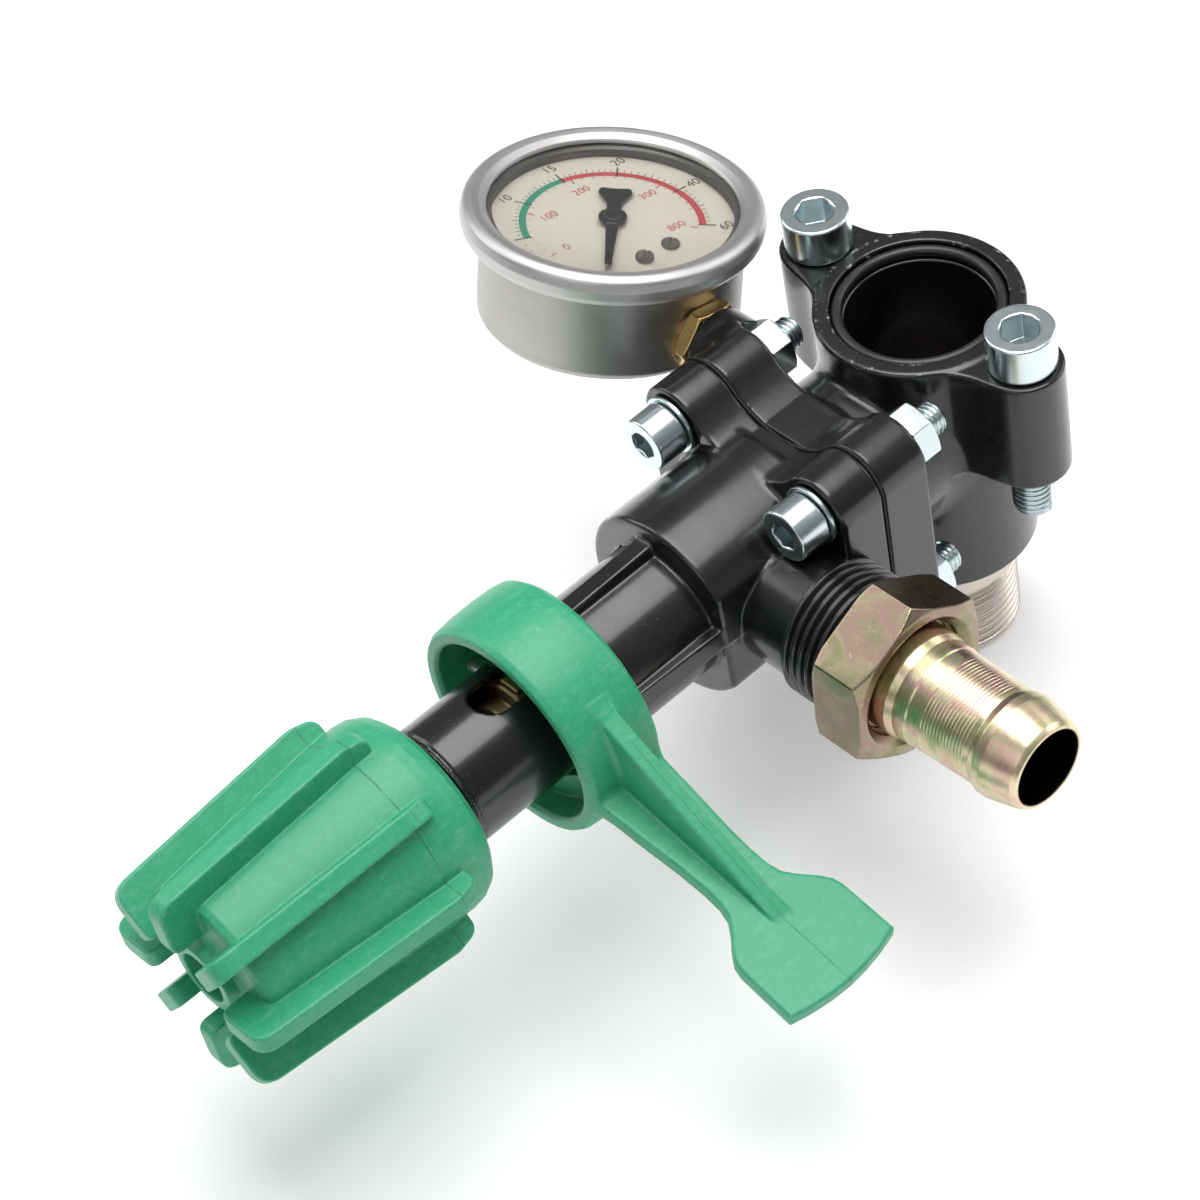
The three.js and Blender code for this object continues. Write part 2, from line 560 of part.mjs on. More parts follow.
place('hose_tail', solid(alongX(turnedGeometry([
  [TAIL.bore, 51.5], [TAIL.collar, 51.5], [TAIL.collar, HEX_UNION.lip - GAP],
  [TAIL.neck, HEX_UNION.lip - GAP], [TAIL.neck, 61.5], [TAIL.r, 64.5], [TAIL.ring, 65.6],
  [TAIL.ring, 68.6], [TAIL.r, 69.4], [TAIL.r, 83], [TAIL.bulb - 0.2, 84.8], [TAIL.bulb, 87.4],
  [TAIL.bulb - 0.8, 91], [TAIL.tip + 0.3, 94.6], [TAIL.tip - 0.4, TAIL.end], [TAIL.bore, TAIL.end],
], 32))), YELLOW_ZINC).position.y = PORT.y;

place('union_gasket', solid(alongX(turnedGeometry([
  [TAIL.bore + 2.5, PORT.end + GAP], [15.8, PORT.end + GAP], [15.8, 51.2], [TAIL.bore + 2.5, 51.2],
], 32))), RUBBER).position.y = PORT.y;

// ---- gauge, in its own leaning frame with the bezel's widest plane at z = 0 ------------------

const gauge = new THREE.Group();
gauge.position.set(GAUGE.x, GAUGE.y, GAUGE.z);
gauge.rotation.x = GAUGE.tilt * DEG;
regulator.add(gauge);

const turnedZ = (profile, segments) => solid(alongZ(turnedGeometry(profile, segments)));
const placeInGauge = (name, body, material) => place(name, body, material, gauge);

placeInGauge('gauge_case', cut(
  turnedZ([
    [0, -GAUGE.depth], [GAUGE.r - 1.5, -GAUGE.depth], [GAUGE.r, 1.5 - GAUGE.depth],
    [GAUGE.r, -5.6], [32.6, -4.8], [32.6, -3.4], [GAUGE.r - 1.2, -3.4],
    [GAUGE.r - 1.2, 1.2 - GAUGE.depth], [0, 1.2 - GAUGE.depth],
  ], 32),
  rodX(8.3, 24, 40, 0, -GAUGE.stemDrop, 16),
  solid(rod(3.3, 25, 35, 16).translate(0, 0, -14)),
), STEEL);

placeInGauge('gauge_bezel', turnedZ([
  [GAUGE.r + 0.4, -6], [GAUGE.bezel - 0.3, -6], [GAUGE.bezel, -3], [GAUGE.bezel - 0.2, -0.6],
  [GAUGE.bezel - 1.4, 0.9], [32.2, 1.3], [30.3, 0.4], [29.9, -0.6],
  [33, -0.6], [33, -5.1], [GAUGE.r + 0.4, -5.9],
], 32), STEEL);

placeInGauge('gauge_window', turnedZ([[0, -2.9], [32.6, -2.9], [32.6, -0.9], [0, -0.9]], 32), GLASS);
placeInGauge('window_gasket', turnedZ([
  [28.4, -5.5], [29.3, -5.5], [29.3, -3.2], [28.4, -3.2],
], 36), RUBBER);
placeInGauge('gauge_dial', cut(
  turnedZ([[0, -6.6], [29.3, -6.6], [29.3, -5.8], [0, -5.8]], 32),
  rodZ(1.6, -8, -4, 0, 0, 16), rodZ(1.4, -8, -4, 16, 4.3, 12), rodZ(1.4, -8, -4, 16, -4.3, 12),
), DIAL);

for (const [name, y] of [['dial_screw_1', 4.3], ['dial_screw_2', -4.3]]) {
  const screw = turnedZ([[0, -8.6], [1.1, -8.6], [1.1, -5.5], [1.9, -5.5], [1.9, -5.3], [0, -5.1]], 16);
  placeInGauge(name, screw, RUBBER).position.set(16, y, 0);
}

// The needle points at the scale's zero, 45 degrees from the stem; its heavy tail lies opposite.
function pointer() {
  const outline = polygon([
    [18.6, -0.6], [18.6, 0.6], [3, 1.4], [-6, 1.6], [-11.2, 4], [-12.4, 3.6],
    [-12.4, -3.6], [-11.2, -4], [-6, -1.6], [3, -1.4],
  ]);
  const needle = solid(new THREE.ExtrudeGeometry(outline, { depth: 0.5, bevelEnabled: false }));
  const hub = turnedZ([[0, -9.4], [1.2, -9.4], [1.2, -4.9], [3.4, -4.9], [3.4, -4], [2.6, -3.6], [0, -3.6]], 20);
  return join(hub, needle.rotate([0, 0, -45.8]).translate([0, 0, -4.8]));
}

placeInGauge('gauge_pointer', pointer(), RUBBER);

placeInGauge('gauge_movement', join(
  solid(new THREE.BoxGeometry(13.6, 12, 1).translate(12.8, 0, -9.5)),
  solid(new THREE.BoxGeometry(2, 12, 5).translate(18.6, 0, -12)),
), BRASS);

function gaugeStem() {
  const socket = solid(new THREE.BoxGeometry(10.6, 10, 9.4).translate(25.4, 0, -GAUGE.stemDrop));
  const hex = prismY(hexagon(17), 0, -4.2).rotate([0, 0, 90]).translate([31.3, 0, -GAUGE.stemDrop]);
  const spigot = rodX(7.9, 29, 31.6, 0, -GAUGE.stemDrop, 16);
  const thread = rodX(6.4, 35, 40.9, 0, -GAUGE.stemDrop, 28);
  return cut(join(socket, spigot, hex, thread), rodX(2.2, 22, 42, 0, -GAUGE.stemDrop, 12));
}

placeInGauge('gauge_stem', gaugeStem(), BRASS);

class Arc extends THREE.Curve {
  constructor(radius, from, to) {
    super();
    Object.assign(this, { radius, from, to });
  }

  getPoint(t, target = new THREE.Vector3()) {
    const angle = (this.from + t * (this.to - this.from)) * DEG;
    return target.set(this.radius * Math.cos(angle), this.radius * Math.sin(angle), 0);
  }
}

placeInGauge('bourdon_tube', sweep(new Arc(24, 16, 300), 2.8, 1.1, 8, 32), BRASS).position.z = -GAUGE.stemDrop;

placeInGauge('gauge_plug', solid(rod(3, -1.2, 3.4, 16)), RUBBER).position.set(0, 28.2, -14);

// Stand the assembly on its lowest point, centred on the origin.
regulator.updateMatrixWorld(true);
const extent = new THREE.Box3().setFromObject(regulator, true);
regulator.position.set(
  -(extent.min.x + extent.max.x) / 2,
  -(extent.min.y + extent.max.y) / 2,
  -extent.min.z,
);

export default regulator;
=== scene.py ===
"""Pressure regulating valve: lacquered castings, moulded knob and lever, plated fasteners and gauge.

Shapes are worked out in millimetres in the valve's own frame, where the inlet ring's axis is Z,
the valve's axis is Y and the hose axis is X, and are moved into the row frame by SHIFT.
"""

import bpy
import math
import numpy as np
from mathutils import Matrix, Vector


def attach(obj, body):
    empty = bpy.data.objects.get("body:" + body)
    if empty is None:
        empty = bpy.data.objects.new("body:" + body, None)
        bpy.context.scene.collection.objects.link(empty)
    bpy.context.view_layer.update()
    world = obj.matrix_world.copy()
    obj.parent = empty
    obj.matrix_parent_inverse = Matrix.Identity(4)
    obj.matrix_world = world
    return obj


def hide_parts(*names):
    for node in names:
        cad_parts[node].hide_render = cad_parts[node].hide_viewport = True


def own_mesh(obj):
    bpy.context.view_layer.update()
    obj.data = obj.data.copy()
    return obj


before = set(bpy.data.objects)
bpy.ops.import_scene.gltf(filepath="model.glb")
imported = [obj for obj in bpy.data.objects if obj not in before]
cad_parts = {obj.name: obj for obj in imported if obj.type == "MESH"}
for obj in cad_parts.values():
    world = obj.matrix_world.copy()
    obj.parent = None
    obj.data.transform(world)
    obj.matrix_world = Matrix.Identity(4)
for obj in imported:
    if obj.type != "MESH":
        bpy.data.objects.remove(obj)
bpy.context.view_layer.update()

MM = 0.001
SHIFT = Vector((4.55, 100.0, 72.3))
HOSE_Y = -65.3
PI = math.pi


# ---- placing ----

def place(origin=(0, 0, 0), z=(0, 0, 1), x=None):
    """The matrix of a frame at a point given in mm, with its local Z and X turned as asked."""
    z = Vector(z).normalized()
    if x is None:
        x = Vector((1, 0, 0)) if abs(z.x) < 0.9 else Vector((0, 1, 0))
    x = (Vector(x) - z * z.dot(Vector(x))).normalized()
    turn = Matrix((x, z.cross(x), z)).transposed().to_4x4()
    return Matrix.Translation((Vector(origin) + SHIFT) * MM) @ turn


TILT = math.radians(-14.6)
GAUGE = place((-70.1, -27.4, 40.6), (0, -math.sin(TILT), math.cos(TILT)), (1, 0, 0))
HOSE = place((0, HOSE_Y, 0), (1, 0, 0), (0, 1, 0))


def add_piece(name, mesh, body, material, matrix=None, nodes=()):
    piece = bpy.data.objects.new(name, mesh)
    bpy.context.scene.collection.objects.link(piece)
    piece.matrix_world = matrix if matrix is not None else Matrix.Translation(SHIFT * MM)
    mesh.materials.clear()
    mesh.materials.append(material)
    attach(piece, body)
    if nodes:
        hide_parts(*nodes)
    return piece


def mesh_of(name, verts, faces):
    mesh = bpy.data.meshes.new(name)
    mesh.from_pydata([tuple(v) for v in np.asarray(verts, float) * MM], [], [tuple(f) for f in faces])
    mesh.validate()
    mesh.shade_smooth()
    return mesh


# ---- solids described by distance ----
# A distance function takes x, y and z arrays in mm and is negative inside the solid.

def union(a, b, fillet=0.0):
    """Both solids, with a round fillet where they meet."""
    if fillet <= 0:
        return np.minimum(a, b)
    corner = np.hypot(np.maximum(fillet - a, 0), np.maximum(fillet - b, 0))
    return np.maximum(fillet, np.minimum(a, b)) - corner


def common(a, b, edge=0.0):
    """What the solids share, with a round edge where they meet."""
    return -union(-a, -b, edge)


def without(a, b, edge=0.0):
    return common(a, -b, edge)


def slab(s, lo, hi):
    """Between two planes across the coordinate s."""
    return np.abs(s - (lo + hi) / 2) - abs(hi - lo) / 2


def rod(u, v, s, r, lo, hi, edge=0.4):
    """A cylinder of radius r about the line u = v = 0, between two stations on s."""
    return common(np.hypot(u, v) - r, slab(s, lo, hi), edge)


def outline_distance(points, u, v):
    """Signed distance to a closed polygon in the plane."""
    pts = np.asarray(points, float)
    best = np.full(u.shape, 1e9)
    inside = np.zeros(u.shape, bool)
    for a, b in zip(pts, np.roll(pts, -1, axis=0)):
        e = b - a
        wu, wv = u - a[0], v - a[1]
        t = np.clip((wu * e[0] + wv * e[1]) / (e @ e), 0, 1)
        best = np.minimum(best, (wu - t * e[0]) ** 2 + (wv - t * e[1]) ** 2)
        if a[1] != b[1]:
            crosses = ((a[1] > v) != (b[1] > v)) & (u < e[0] * (v - a[1]) / e[1] + a[0])
            inside ^= crosses
    return np.where(inside, -1, 1) * np.sqrt(best)


def soften(profile, steps=4):
    """Rounds each corner of a closed (r, z, radius) profile; a corner with no radius stays sharp."""
    points = []
    count = len(profile)
    for k, corner in enumerate(profile):
        p = np.array(corner[:2], float)
        radius = corner[2] if len(corner) > 2 else 0
        a = np.array(profile[k - 1][:2], float) - p
        b = np.array(profile[(k + 1) % count][:2], float) - p
        la, lb = np.linalg.norm(a), np.linalg.norm(b)
        if not radius or la < 1e-6 or lb < 1e-6:
            points.append(p)
            continue
        a, b = a / la, b / lb
        half = math.acos(max(-1, min(1, a @ b))) / 2
        back = min(radius / math.tan(half), 0.48 * la, 0.48 * lb) if half > 1e-3 else 0
        if back < 1e-4 or half > 0.49 * PI:
            points.append(p)
            continue
        for n in range(steps + 1):
            t = n / steps
            points.append((1 - t) ** 2 * (p + a * back) + 2 * t * (1 - t) * p + t * t * (p + b * back))
    return points


def skin(name, distance, lo, hi, step):
    """The zero surface of a distance function as a quad mesh whose points lie on it."""
    lo, hi = np.asarray(lo, float), np.asarray(hi, float)
    block = 16  # far from the surface one sample stands for a whole block
    counts = (np.ceil((hi - lo) / step / block).astype(int)) * block + 1
    axes = [lo[k] + step * np.arange(counts[k]) for k in range(3)]
    field = np.empty(counts, np.float32)
    blocks = [range(0, n - 1, block) for n in counts]
    centres = np.array([[x, y, z] for x in blocks[0] for y in blocks[1] for z in blocks[2]])
    middle = lo + step * (centres + block / 2)
    far = distance(*middle.T)
    reach = step * block * 0.5 * math.sqrt(3) * 1.15 + 1.5
    for (i, j, k), value in zip(centres, far):
        window = (slice(i, i + block + 1), slice(j, j + block + 1), slice(k, k + block + 1))
        if abs(value) > reach:
            field[window] = value
            continue
        x, y, z = np.meshgrid(*(axes[n][window[n]] for n in range(3)), indexing="ij")
        field[window] = distance(x, y, z)
    inside = field < 0
    corners = [(a, b, c) for a in (0, 1) for b in (0, 1) for c in (0, 1)]

    def corner(array, offset):
        a, b, c = offset
        nx, ny, nz = array.shape
        return array[a:nx - 1 + a, b:ny - 1 + b, c:nz - 1 + c]

    some = np.zeros([n - 1 for n in counts], bool)
    every = np.ones_like(some)
    for offset in corners:
        some |= corner(inside, offset)
        every &= corner(inside, offset)
    cells = np.argwhere(some & ~every)
    number = np.full(some.shape, -1, np.int64)
    number[tuple(cells.T)] = np.arange(len(cells))
    total = np.zeros((len(cells), 3))
    hits = np.zeros(len(cells))
    for a in corners:
        for axis in range(3):
            if a[axis]:
                continue
            b = tuple(v + (n == axis) for n, v in enumerate(a))
            fa = field[tuple((cells + a).T)].astype(float)
            fb = field[tuple((cells + b).T)].astype(float)
            cut = (fa < 0) != (fb < 0)
            t = np.where(cut, fa / np.where(cut, fa - fb, 1), 0)
            point = cells + np.array(a, float)
            point[:, axis] += t
            total[cut] += point[cut]
            hits[cut] += 1
    verts = lo + step * total / hits[:, None]
    faces = []
    for axis in range(3):
        u, v = (axis + 1) % 3, (axis + 2) % 3
        first = np.moveaxis(inside, axis, 0)
        edges = np.argwhere(first[:-1] != first[1:])
        grid = edges[:, np.argsort([axis] + [n for n in range(3) if n != axis])]
        keep = np.all((grid > 0) & (grid < np.array(counts) - 1) | (np.arange(3) == axis), axis=1)
        grid = grid[keep]
        start_inside = inside[tuple(grid.T)]
        ring = []
        for du, dv in ((-1, -1), (0, -1), (0, 0), (-1, 0)):
            cell = grid.copy()
            cell[:, u] += du
            cell[:, v] += dv
            ring.append(number[tuple(cell.T)])
        quads = np.stack(ring, axis=1)
        quads[~start_inside] = quads[~start_inside][:, ::-1]
        faces.append(quads)
    faces = np.concatenate(faces)
    probe = 0.02
    for _ in range(3):
        x, y, z = verts.T
        value = distance(x, y, z)
        slope = np.stack([
            distance(x + probe, y, z) - distance(x - probe, y, z),
            distance(x, y + probe, z) - distance(x, y - probe, z),
            distance(x, y, z + probe) - distance(x, y, z - probe),
        ], axis=1) / (2 * probe)
        size = np.maximum((slope ** 2).sum(axis=1), 0.25)
        move = -(value / size)[:, None] * slope
        length = np.linalg.norm(move, axis=1, keepdims=True)
        verts = verts + move * np.minimum(1, 0.45 * step / np.maximum(length, 1e-9))
    mesh = bpy.data.meshes.new(name)
    mesh.vertices.add(len(verts))
    mesh.vertices.foreach_set("co", (verts * MM).astype(np.float32).ravel())
    mesh.loops.add(faces.size)
    mesh.loops.foreach_set("vertex_index", faces.astype(np.int32).ravel())
    mesh.polygons.add(len(faces))
    mesh.polygons.foreach_set("loop_start", np.arange(0, faces.size, 4, dtype=np.int32))
    mesh.update(calc_edges=True)
    mesh.validate()
    mesh.shade_smooth()
    return mesh


# ---- turned and threaded solids ----

def circle(r, z, segments):
    turns = [2 * PI * k / segments for k in range(segments)]
    return [(r * math.cos(turn), r * math.sin(turn), z) for turn in turns]


def turned(name, profile, segments=128, steps=4):
    """A solid turned about local Z from a closed profile of (radius, z, corner radius)."""
    points = soften(profile, steps)
    area = sum(a[0] * b[1] - b[0] * a[1] for a, b in zip(points, points[1:] + points[:1]))
    if area < 0:
        points.reverse()
    verts, rings = [], []
    for r, z in points:
        if r < 1e-6:
            rings.append([len(verts)] * segments)
            verts.append((0, 0, z))
            continue
        rings.append(list(range(len(verts), len(verts) + segments)))
        verts += circle(r, z, segments)
    faces = []
    for a, b in zip(rings, rings[1:] + rings[:1]):
        if a[0] == a[1] and b[0] == b[1]:
            continue
        for k in range(segments):
            n = (k + 1) % segments
            face = list(dict.fromkeys((a[k], a[n], b[n], b[k])))
            if len(face) > 2:
                faces.append(face)
    return mesh_of(name, verts, faces)


def crisp(piece):
    """Keeps flat faces flat and bends of more than 40 degrees sharp."""
    piece.data.set_sharp_from_angle(angle=math.radians(40))
    normals = piece.modifiers.new("weighted", "WEIGHTED_NORMAL")
    normals.keep_sharp = True
    normals.weight = 80


def threaded(name, r, pitch, lo, hi, core, depth, lead, phase=0.0, segments=96):
    """A threaded sleeve about local Z with a real helix, which fades in and out at its ends."""
    rows_per_turn, crest, root = 14, 0.14, 0.84
    rows = max(4, int(round((hi - lo) / pitch * rows_per_turn)))
    verts, faces = [], []
    for i in range(rows + 1):
        z = lo + (hi - lo) * i / rows
        ease = min(1, (z - lo) / lead, (hi - z) / lead)
        for k in range(segments):
            angle = 2 * PI * k / segments
            turn = (z / pitch - k / segments + phase) % 1
            wave = abs(2 * turn - 1)
            flank = min(1, max(0, (wave - crest) / (root - crest)))
            flank = flank * flank * (3 - 2 * flank) * 0.35 + flank * 0.65
            radius = r - depth * flank - depth * 0.9 * (1 - max(0, ease)) * (1 - flank)
            verts.append((radius * math.cos(angle), radius * math.sin(angle), z))
    outer = len(verts)
    verts += circle(core, lo, segments) + circle(core, hi, segments)
    last = rows * segments
    for k in range(segments):
        n = (k + 1) % segments
        for i in range(rows):
            a, b = i * segments, (i + 1) * segments
            faces.append((a + k, a + n, b + n, b + k))
        faces.append((n, k, outer + k, outer + n))
        faces.append((last + k, last + n, outer + segments + n, outer + segments + k))
        faces.append((outer + n, outer + k, outer + segments + k, outer + segments + n))
    return mesh_of(name, verts, faces)


def merge(name, *meshes):
    """One mesh from several, each a mesh or a (mesh, matrix) pair."""
    verts, faces = [], []
    for entry in meshes:
        mesh, matrix = entry if isinstance(entry, tuple) else (entry, None)
        start = len(verts)
        for v in mesh.vertices:
            verts.append(tuple(matrix @ v.co if matrix else v.co))
        faces += [tuple(start + i for i in p.vertices) for p in mesh.polygons]
    joined = bpy.data.meshes.new(name)
    joined.from_pydata(verts, [], faces)
    joined.shade_smooth()
    return joined


# ---- materials ----

class Look:
    """Builds one node material around a Principled shader."""

    def __init__(self, name, **sockets):
        self.material = bpy.data.materials.new(name)
        self.material.use_nodes = True
        self.nodes = self.material.node_tree.nodes
        self.links = self.material.node_tree.links
        self.shader = self.nodes["Principled BSDF"]
        self.where = self.nodes.new("ShaderNodeTexCoord").outputs["Object"]
        for key, value in sockets.items():
            self.shader.inputs[key.replace("_", " ")].default_value = value

    def node(self, kind, **values):
        made = self.nodes.new(kind)
        for key, value in values.items():
            setattr(made, key, value)
        return made

    def link(self, source, target):
        self.links.new(source, target)

    def stretch(self, x, y, z):
        mapping = self.node("ShaderNodeMapping")
        mapping.inputs["Scale"].default_value = (x, y, z)
        self.link(self.where, mapping.inputs["Vector"])
        return mapping.outputs["Vector"]

    def turned_space(self):
        """Radius and height about local Z, so that marks run round the piece."""
        x, y, z = self.parts(self.where, 0, 1, 2)
        flat = self.node("ShaderNodeCombineXYZ")
        self.link(x, flat.inputs[0])
        self.link(y, flat.inputs[1])
        length = self.node("ShaderNodeVectorMath", operation="LENGTH")
        self.link(flat.outputs[0], length.inputs[0])
        joined = self.node("ShaderNodeCombineXYZ")
        self.link(length.outputs["Value"], joined.inputs[0])
        self.link(z, joined.inputs[2])
        return joined.outputs[0]

    def parts(self, vector, *axes):
        split = self.node("ShaderNodeSeparateXYZ")
        self.link(vector, split.inputs[0])
        return [split.outputs[axis] for axis in axes]

    def noise(self, scale, detail=4.0, rough=0.55, space=None, warp=0.0):
        made = self.node("ShaderNodeTexNoise")
        made.inputs["Scale"].default_value = scale
        made.inputs["Detail"].default_value = detail
        made.inputs["Roughness"].default_value = rough
        made.inputs["Distortion"].default_value = warp
        self.link(space or self.where, made.inputs["Vector"])
        return made.outputs["Fac"]

    def ramp(self, value, *stops):
        made = self.node("ShaderNodeValToRGB")
        ramp = made.color_ramp
        while len(ramp.elements) < len(stops):
            ramp.elements.new(0.5)
        for element, (at, colour) in zip(ramp.elements, stops):
            element.position = at
            element.color = (*colour, 1)
        self.link(value, made.inputs["Fac"])
        return made.outputs["Color"]

    def span(self, value, low, high, to_low=0, to_high=1):
        made = self.node("ShaderNodeMapRange")
        for key, number in (("From Min", low), ("From Max", high), ("To Min", to_low), ("To Max", to_high)):
            made.inputs[key].default_value = number
        self.link(value, made.inputs["Value"])
        return made.outputs["Result"]

    def feed(self, source, socket):
        if isinstance(source, (int, float)):
            socket.default_value = source
        elif isinstance(source, tuple):
            socket.default_value = (*source, 1)
        else:
            self.link(source, socket)

    def mix(self, factor, first, second):
        made = self.node("ShaderNodeMix", data_type="RGBA")
        for source, socket in ((factor, 0), (first, 6), (second, 7)):
            self.feed(source, made.inputs[socket])
        return made.outputs[2]

    def math(self, operation, first, second=0.0):
        made = self.node("ShaderNodeMath", operation=operation)
        self.feed(first, made.inputs[0])
        self.feed(second, made.inputs[1])
        return made.outputs[0]

    def colour(self, value):
        self.link(value, self.shader.inputs["Base Color"])

    def roughness(self, value):
        self.link(value, self.shader.inputs["Roughness"])

    def bumps(self, *layers):
        """Each layer is a height, its strength and its depth in mm."""
        normal = None
        for height, strength, depth in layers:
            made = self.node("ShaderNodeBump")
            made.inputs["Strength"].default_value = strength
            made.inputs["Distance"].default_value = depth * MM
            self.link(height, made.inputs["Height"])
            if normal is not None:
                self.link(normal, made.inputs["Normal"])
            normal = made.outputs["Normal"]
        self.link(normal, self.shader.inputs["Normal"])


def black_lacquer():
    """Gloss lacquer with dust in it, chipped along edges and along the two rims of the ring."""
    look = Look("black_lacquer", Metallic=0.0, Specular_IOR_Level=0.5, Coat_Weight=0.4, Coat_Roughness=0.13)
    patch = look.noise(55, 3)
    dust = look.span(look.noise(1300, 2, 0.5), 0.735, 0.76)
    worn = look.span(look.noise(330, 7, 0.78), 0.56, 0.62)
    edge = look.node("ShaderNodeNewGeometry").outputs["Pointiness"]
    spots = look.math("MULTIPLY", worn, look.span(patch, 0.50, 0.58))
    chipped = look.math("MULTIPLY", look.span(edge, 0.54, 0.58, 0, 0.7), spots)
    radius, height = look.parts(look.turned_space(), 0, 2)
    rims = []
    for r, half in ((0.0206, 0.0005), (0.0235, 0.0006)):
        away = look.math("ABSOLUTE", look.math("SUBTRACT", radius, r))
        rims.append(look.span(away, half * 0.4, half, 1, 0))
    rim = look.math("MULTIPLY", look.math("MAXIMUM", *rims), look.span(height, 0.0286, 0.0290))
    chipped = look.math("MAXIMUM", chipped, look.math("MULTIPLY", rim, worn))
    base = look.mix(patch, (0.0045, 0.0045, 0.0048), (0.0075, 0.0075, 0.0078))
    base = look.mix(dust, base, (0.10, 0.10, 0.10))
    look.colour(look.mix(chipped, base, (0.30, 0.30, 0.29)))
    sheen = look.span(patch, 0.3, 0.7, 0.22, 0.30)
    look.roughness(look.math("ADD", sheen, look.math("MULTIPLY", chipped, 0.2)))
    look.bumps((look.noise(260, 3, 0.5), 0.16, 0.28), (look.noise(900, 3, 0.5), 0.05, 0.04))
    return look.material


KNOB_SEAM, LEVER_SEAM = 171.2, 122.65


def green_nylon():
    """Satin moulded nylon: mottled, scuffed, rubbed pale on its edges, with moulding seams."""
    look = Look("green_nylon", Metallic=0.0, Specular_IOR_Level=0.5,
                Subsurface_Weight=0.05, Subsurface_Scale=0.002)
    cloud = look.noise(38, 4, 0.6)
    mottle = look.noise(850, 5, 0.7)
    grain = look.noise(2100, 3, 0.6)
    scuff = look.span(look.noise(520, 7, 0.8, look.stretch(1, 0.35, 1)), 0.52, 0.70)
    base = look.mix(cloud, (0.017, 0.275, 0.135), (0.029, 0.345, 0.180))
    base = look.mix(look.span(mottle, 0.38, 0.7, 0, 0.40), base, (0.07, 0.42, 0.25))
    base = look.mix(look.math("MULTIPLY", scuff, 0.45), base, (0.17, 0.48, 0.33))
    edge = look.node("ShaderNodeNewGeometry").outputs["Pointiness"]
    rubbed = look.span(edge, 0.52, 0.58, 0, 0.35)
    rubbed = look.math("MULTIPLY", rubbed, look.span(mottle, 0.40, 0.60))
    base = look.mix(rubbed, base, (0.16, 0.50, 0.34))
    x, y = look.parts(look.where, 0, 1)
    wander = look.span(look.noise(130, 3, 0.6), 0.3, 0.7, -0.00012, 0.00012)
    seams = []
    for level in (KNOB_SEAM, LEVER_SEAM):
        away = look.math("ABSOLUTE", look.math("ADD", look.math("ADD", y, level * MM), wander))
        seams.append(look.span(away, 0.00006, 0.00020, 1, 0))
    seams[1] = look.math("MULTIPLY", seams[1], look.span(x, 0.030, 0.031, 0, 0.7))
    gaps = look.span(look.noise(420, 3), 0.38, 0.5, 0.25, 1)
    seam = look.math("MULTIPLY", look.math("MAXIMUM", *seams), gaps)
    speck = look.span(look.noise(520, 5, 0.7), 0.735, 0.76, 0, 0.8)
    marks = look.math("MAXIMUM", look.math("MULTIPLY", seam, 0.7), speck)
    look.colour(look.mix(marks, base, (0.035, 0.10, 0.055)))
    sheen = look.span(mottle, 0.3, 0.7, 0.34, 0.46)
    look.roughness(look.math("ADD", sheen, look.math("MULTIPLY", scuff, 0.10)))
    look.bumps((look.noise(160, 3, 0.5), 0.12, 0.35), (mottle, 0.12, 0.12), (grain, 0.16, 0.05),
               (look.math("SUBTRACT", 1, seam), 0.5, 0.15))
    return look.material


def zinc_plate():
    look = Look("zinc_plate", Metallic=1.0)
    around = look.turned_space()
    marks = look.noise(5200, 2, 0.6, around)
    cloud = look.noise(240, 4, 0.65)
    look.colour(look.mix(cloud, (0.60, 0.70, 0.725), (0.72, 0.79, 0.80)))
    look.roughness(look.span(cloud, 0.3, 0.7, 0.20, 0.27))
    look.bumps((marks, 0.02, 0.015))
    return look.material


def yellow_passivate(name, painted_light_scale, bore):
    """Yellow zinc with drifting pink and green tints, scaled by a factor that paints shade below 1 and light
    above 1, with painted shade darkening its bore, of the radius given in m.
    """
    look = Look(name, Metallic=1.0)
    drift = look.noise(75, 4, 0.6, warp=0.8)
    stops = ((0.30, (0.29, 0.30, 0.18)), (0.41, (0.40, 0.37, 0.22)), (0.49, (0.52, 0.45, 0.30)),
             (0.57, (0.51, 0.34, 0.29)), (0.65, (0.44, 0.38, 0.25)), (0.74, (0.32, 0.32, 0.20)))
    # The factor brightens or darkens every tint: painted light above 1, painted shade below 1.
    tint = look.ramp(drift, *((at, tuple(painted_light_scale * part for part in colour)) for at, colour in stops))
    scratch = look.span(look.noise(420, 6, 0.8, look.stretch(0.5, 3, 1)), 0.60, 0.68)
    tint = look.mix(look.math("MULTIPLY", scratch, 0.45), tint, (0.70, 0.64, 0.48))
    around = look.turned_space()
    radius, = look.parts(around, 0)
    # Painted shade: inside the bore's radius the colour goes near black.
    inside = look.span(radius, bore, bore + 0.0002, 1, 0)
    look.colour(look.mix(inside, tint, (0.020, 0.018, 0.014)))
    rings = look.noise(3600, 2, 0.6, around)
    sheen = look.span(rings, 0.3, 0.7, 0.24, 0.35)
    look.roughness(look.math("ADD", sheen, look.math("MULTIPLY", scratch, 0.12)))
    look.bumps((rings, 0.22, 0.05), (scratch, 0.15, 0.02), (look.noise(500, 4, 0.6), 0.08, 0.10))
    return look.material


def turned_metal(name, low, high, rough, rings, cloud, fine, ring_bump, fine_bump, **sockets):
    """Tool marks run round the piece, and set its roughness and its first bumps."""
    look = Look(name, Metallic=1.0, **sockets)
    marks = look.noise(*rings, look.turned_space())
    look.colour(look.mix(look.noise(*cloud), low, high))
    look.roughness(look.span(marks, 0.3, 0.7, *rough))
    look.bumps((marks, *ring_bump), (look.noise(*fine), *fine_bump))
    return look.material


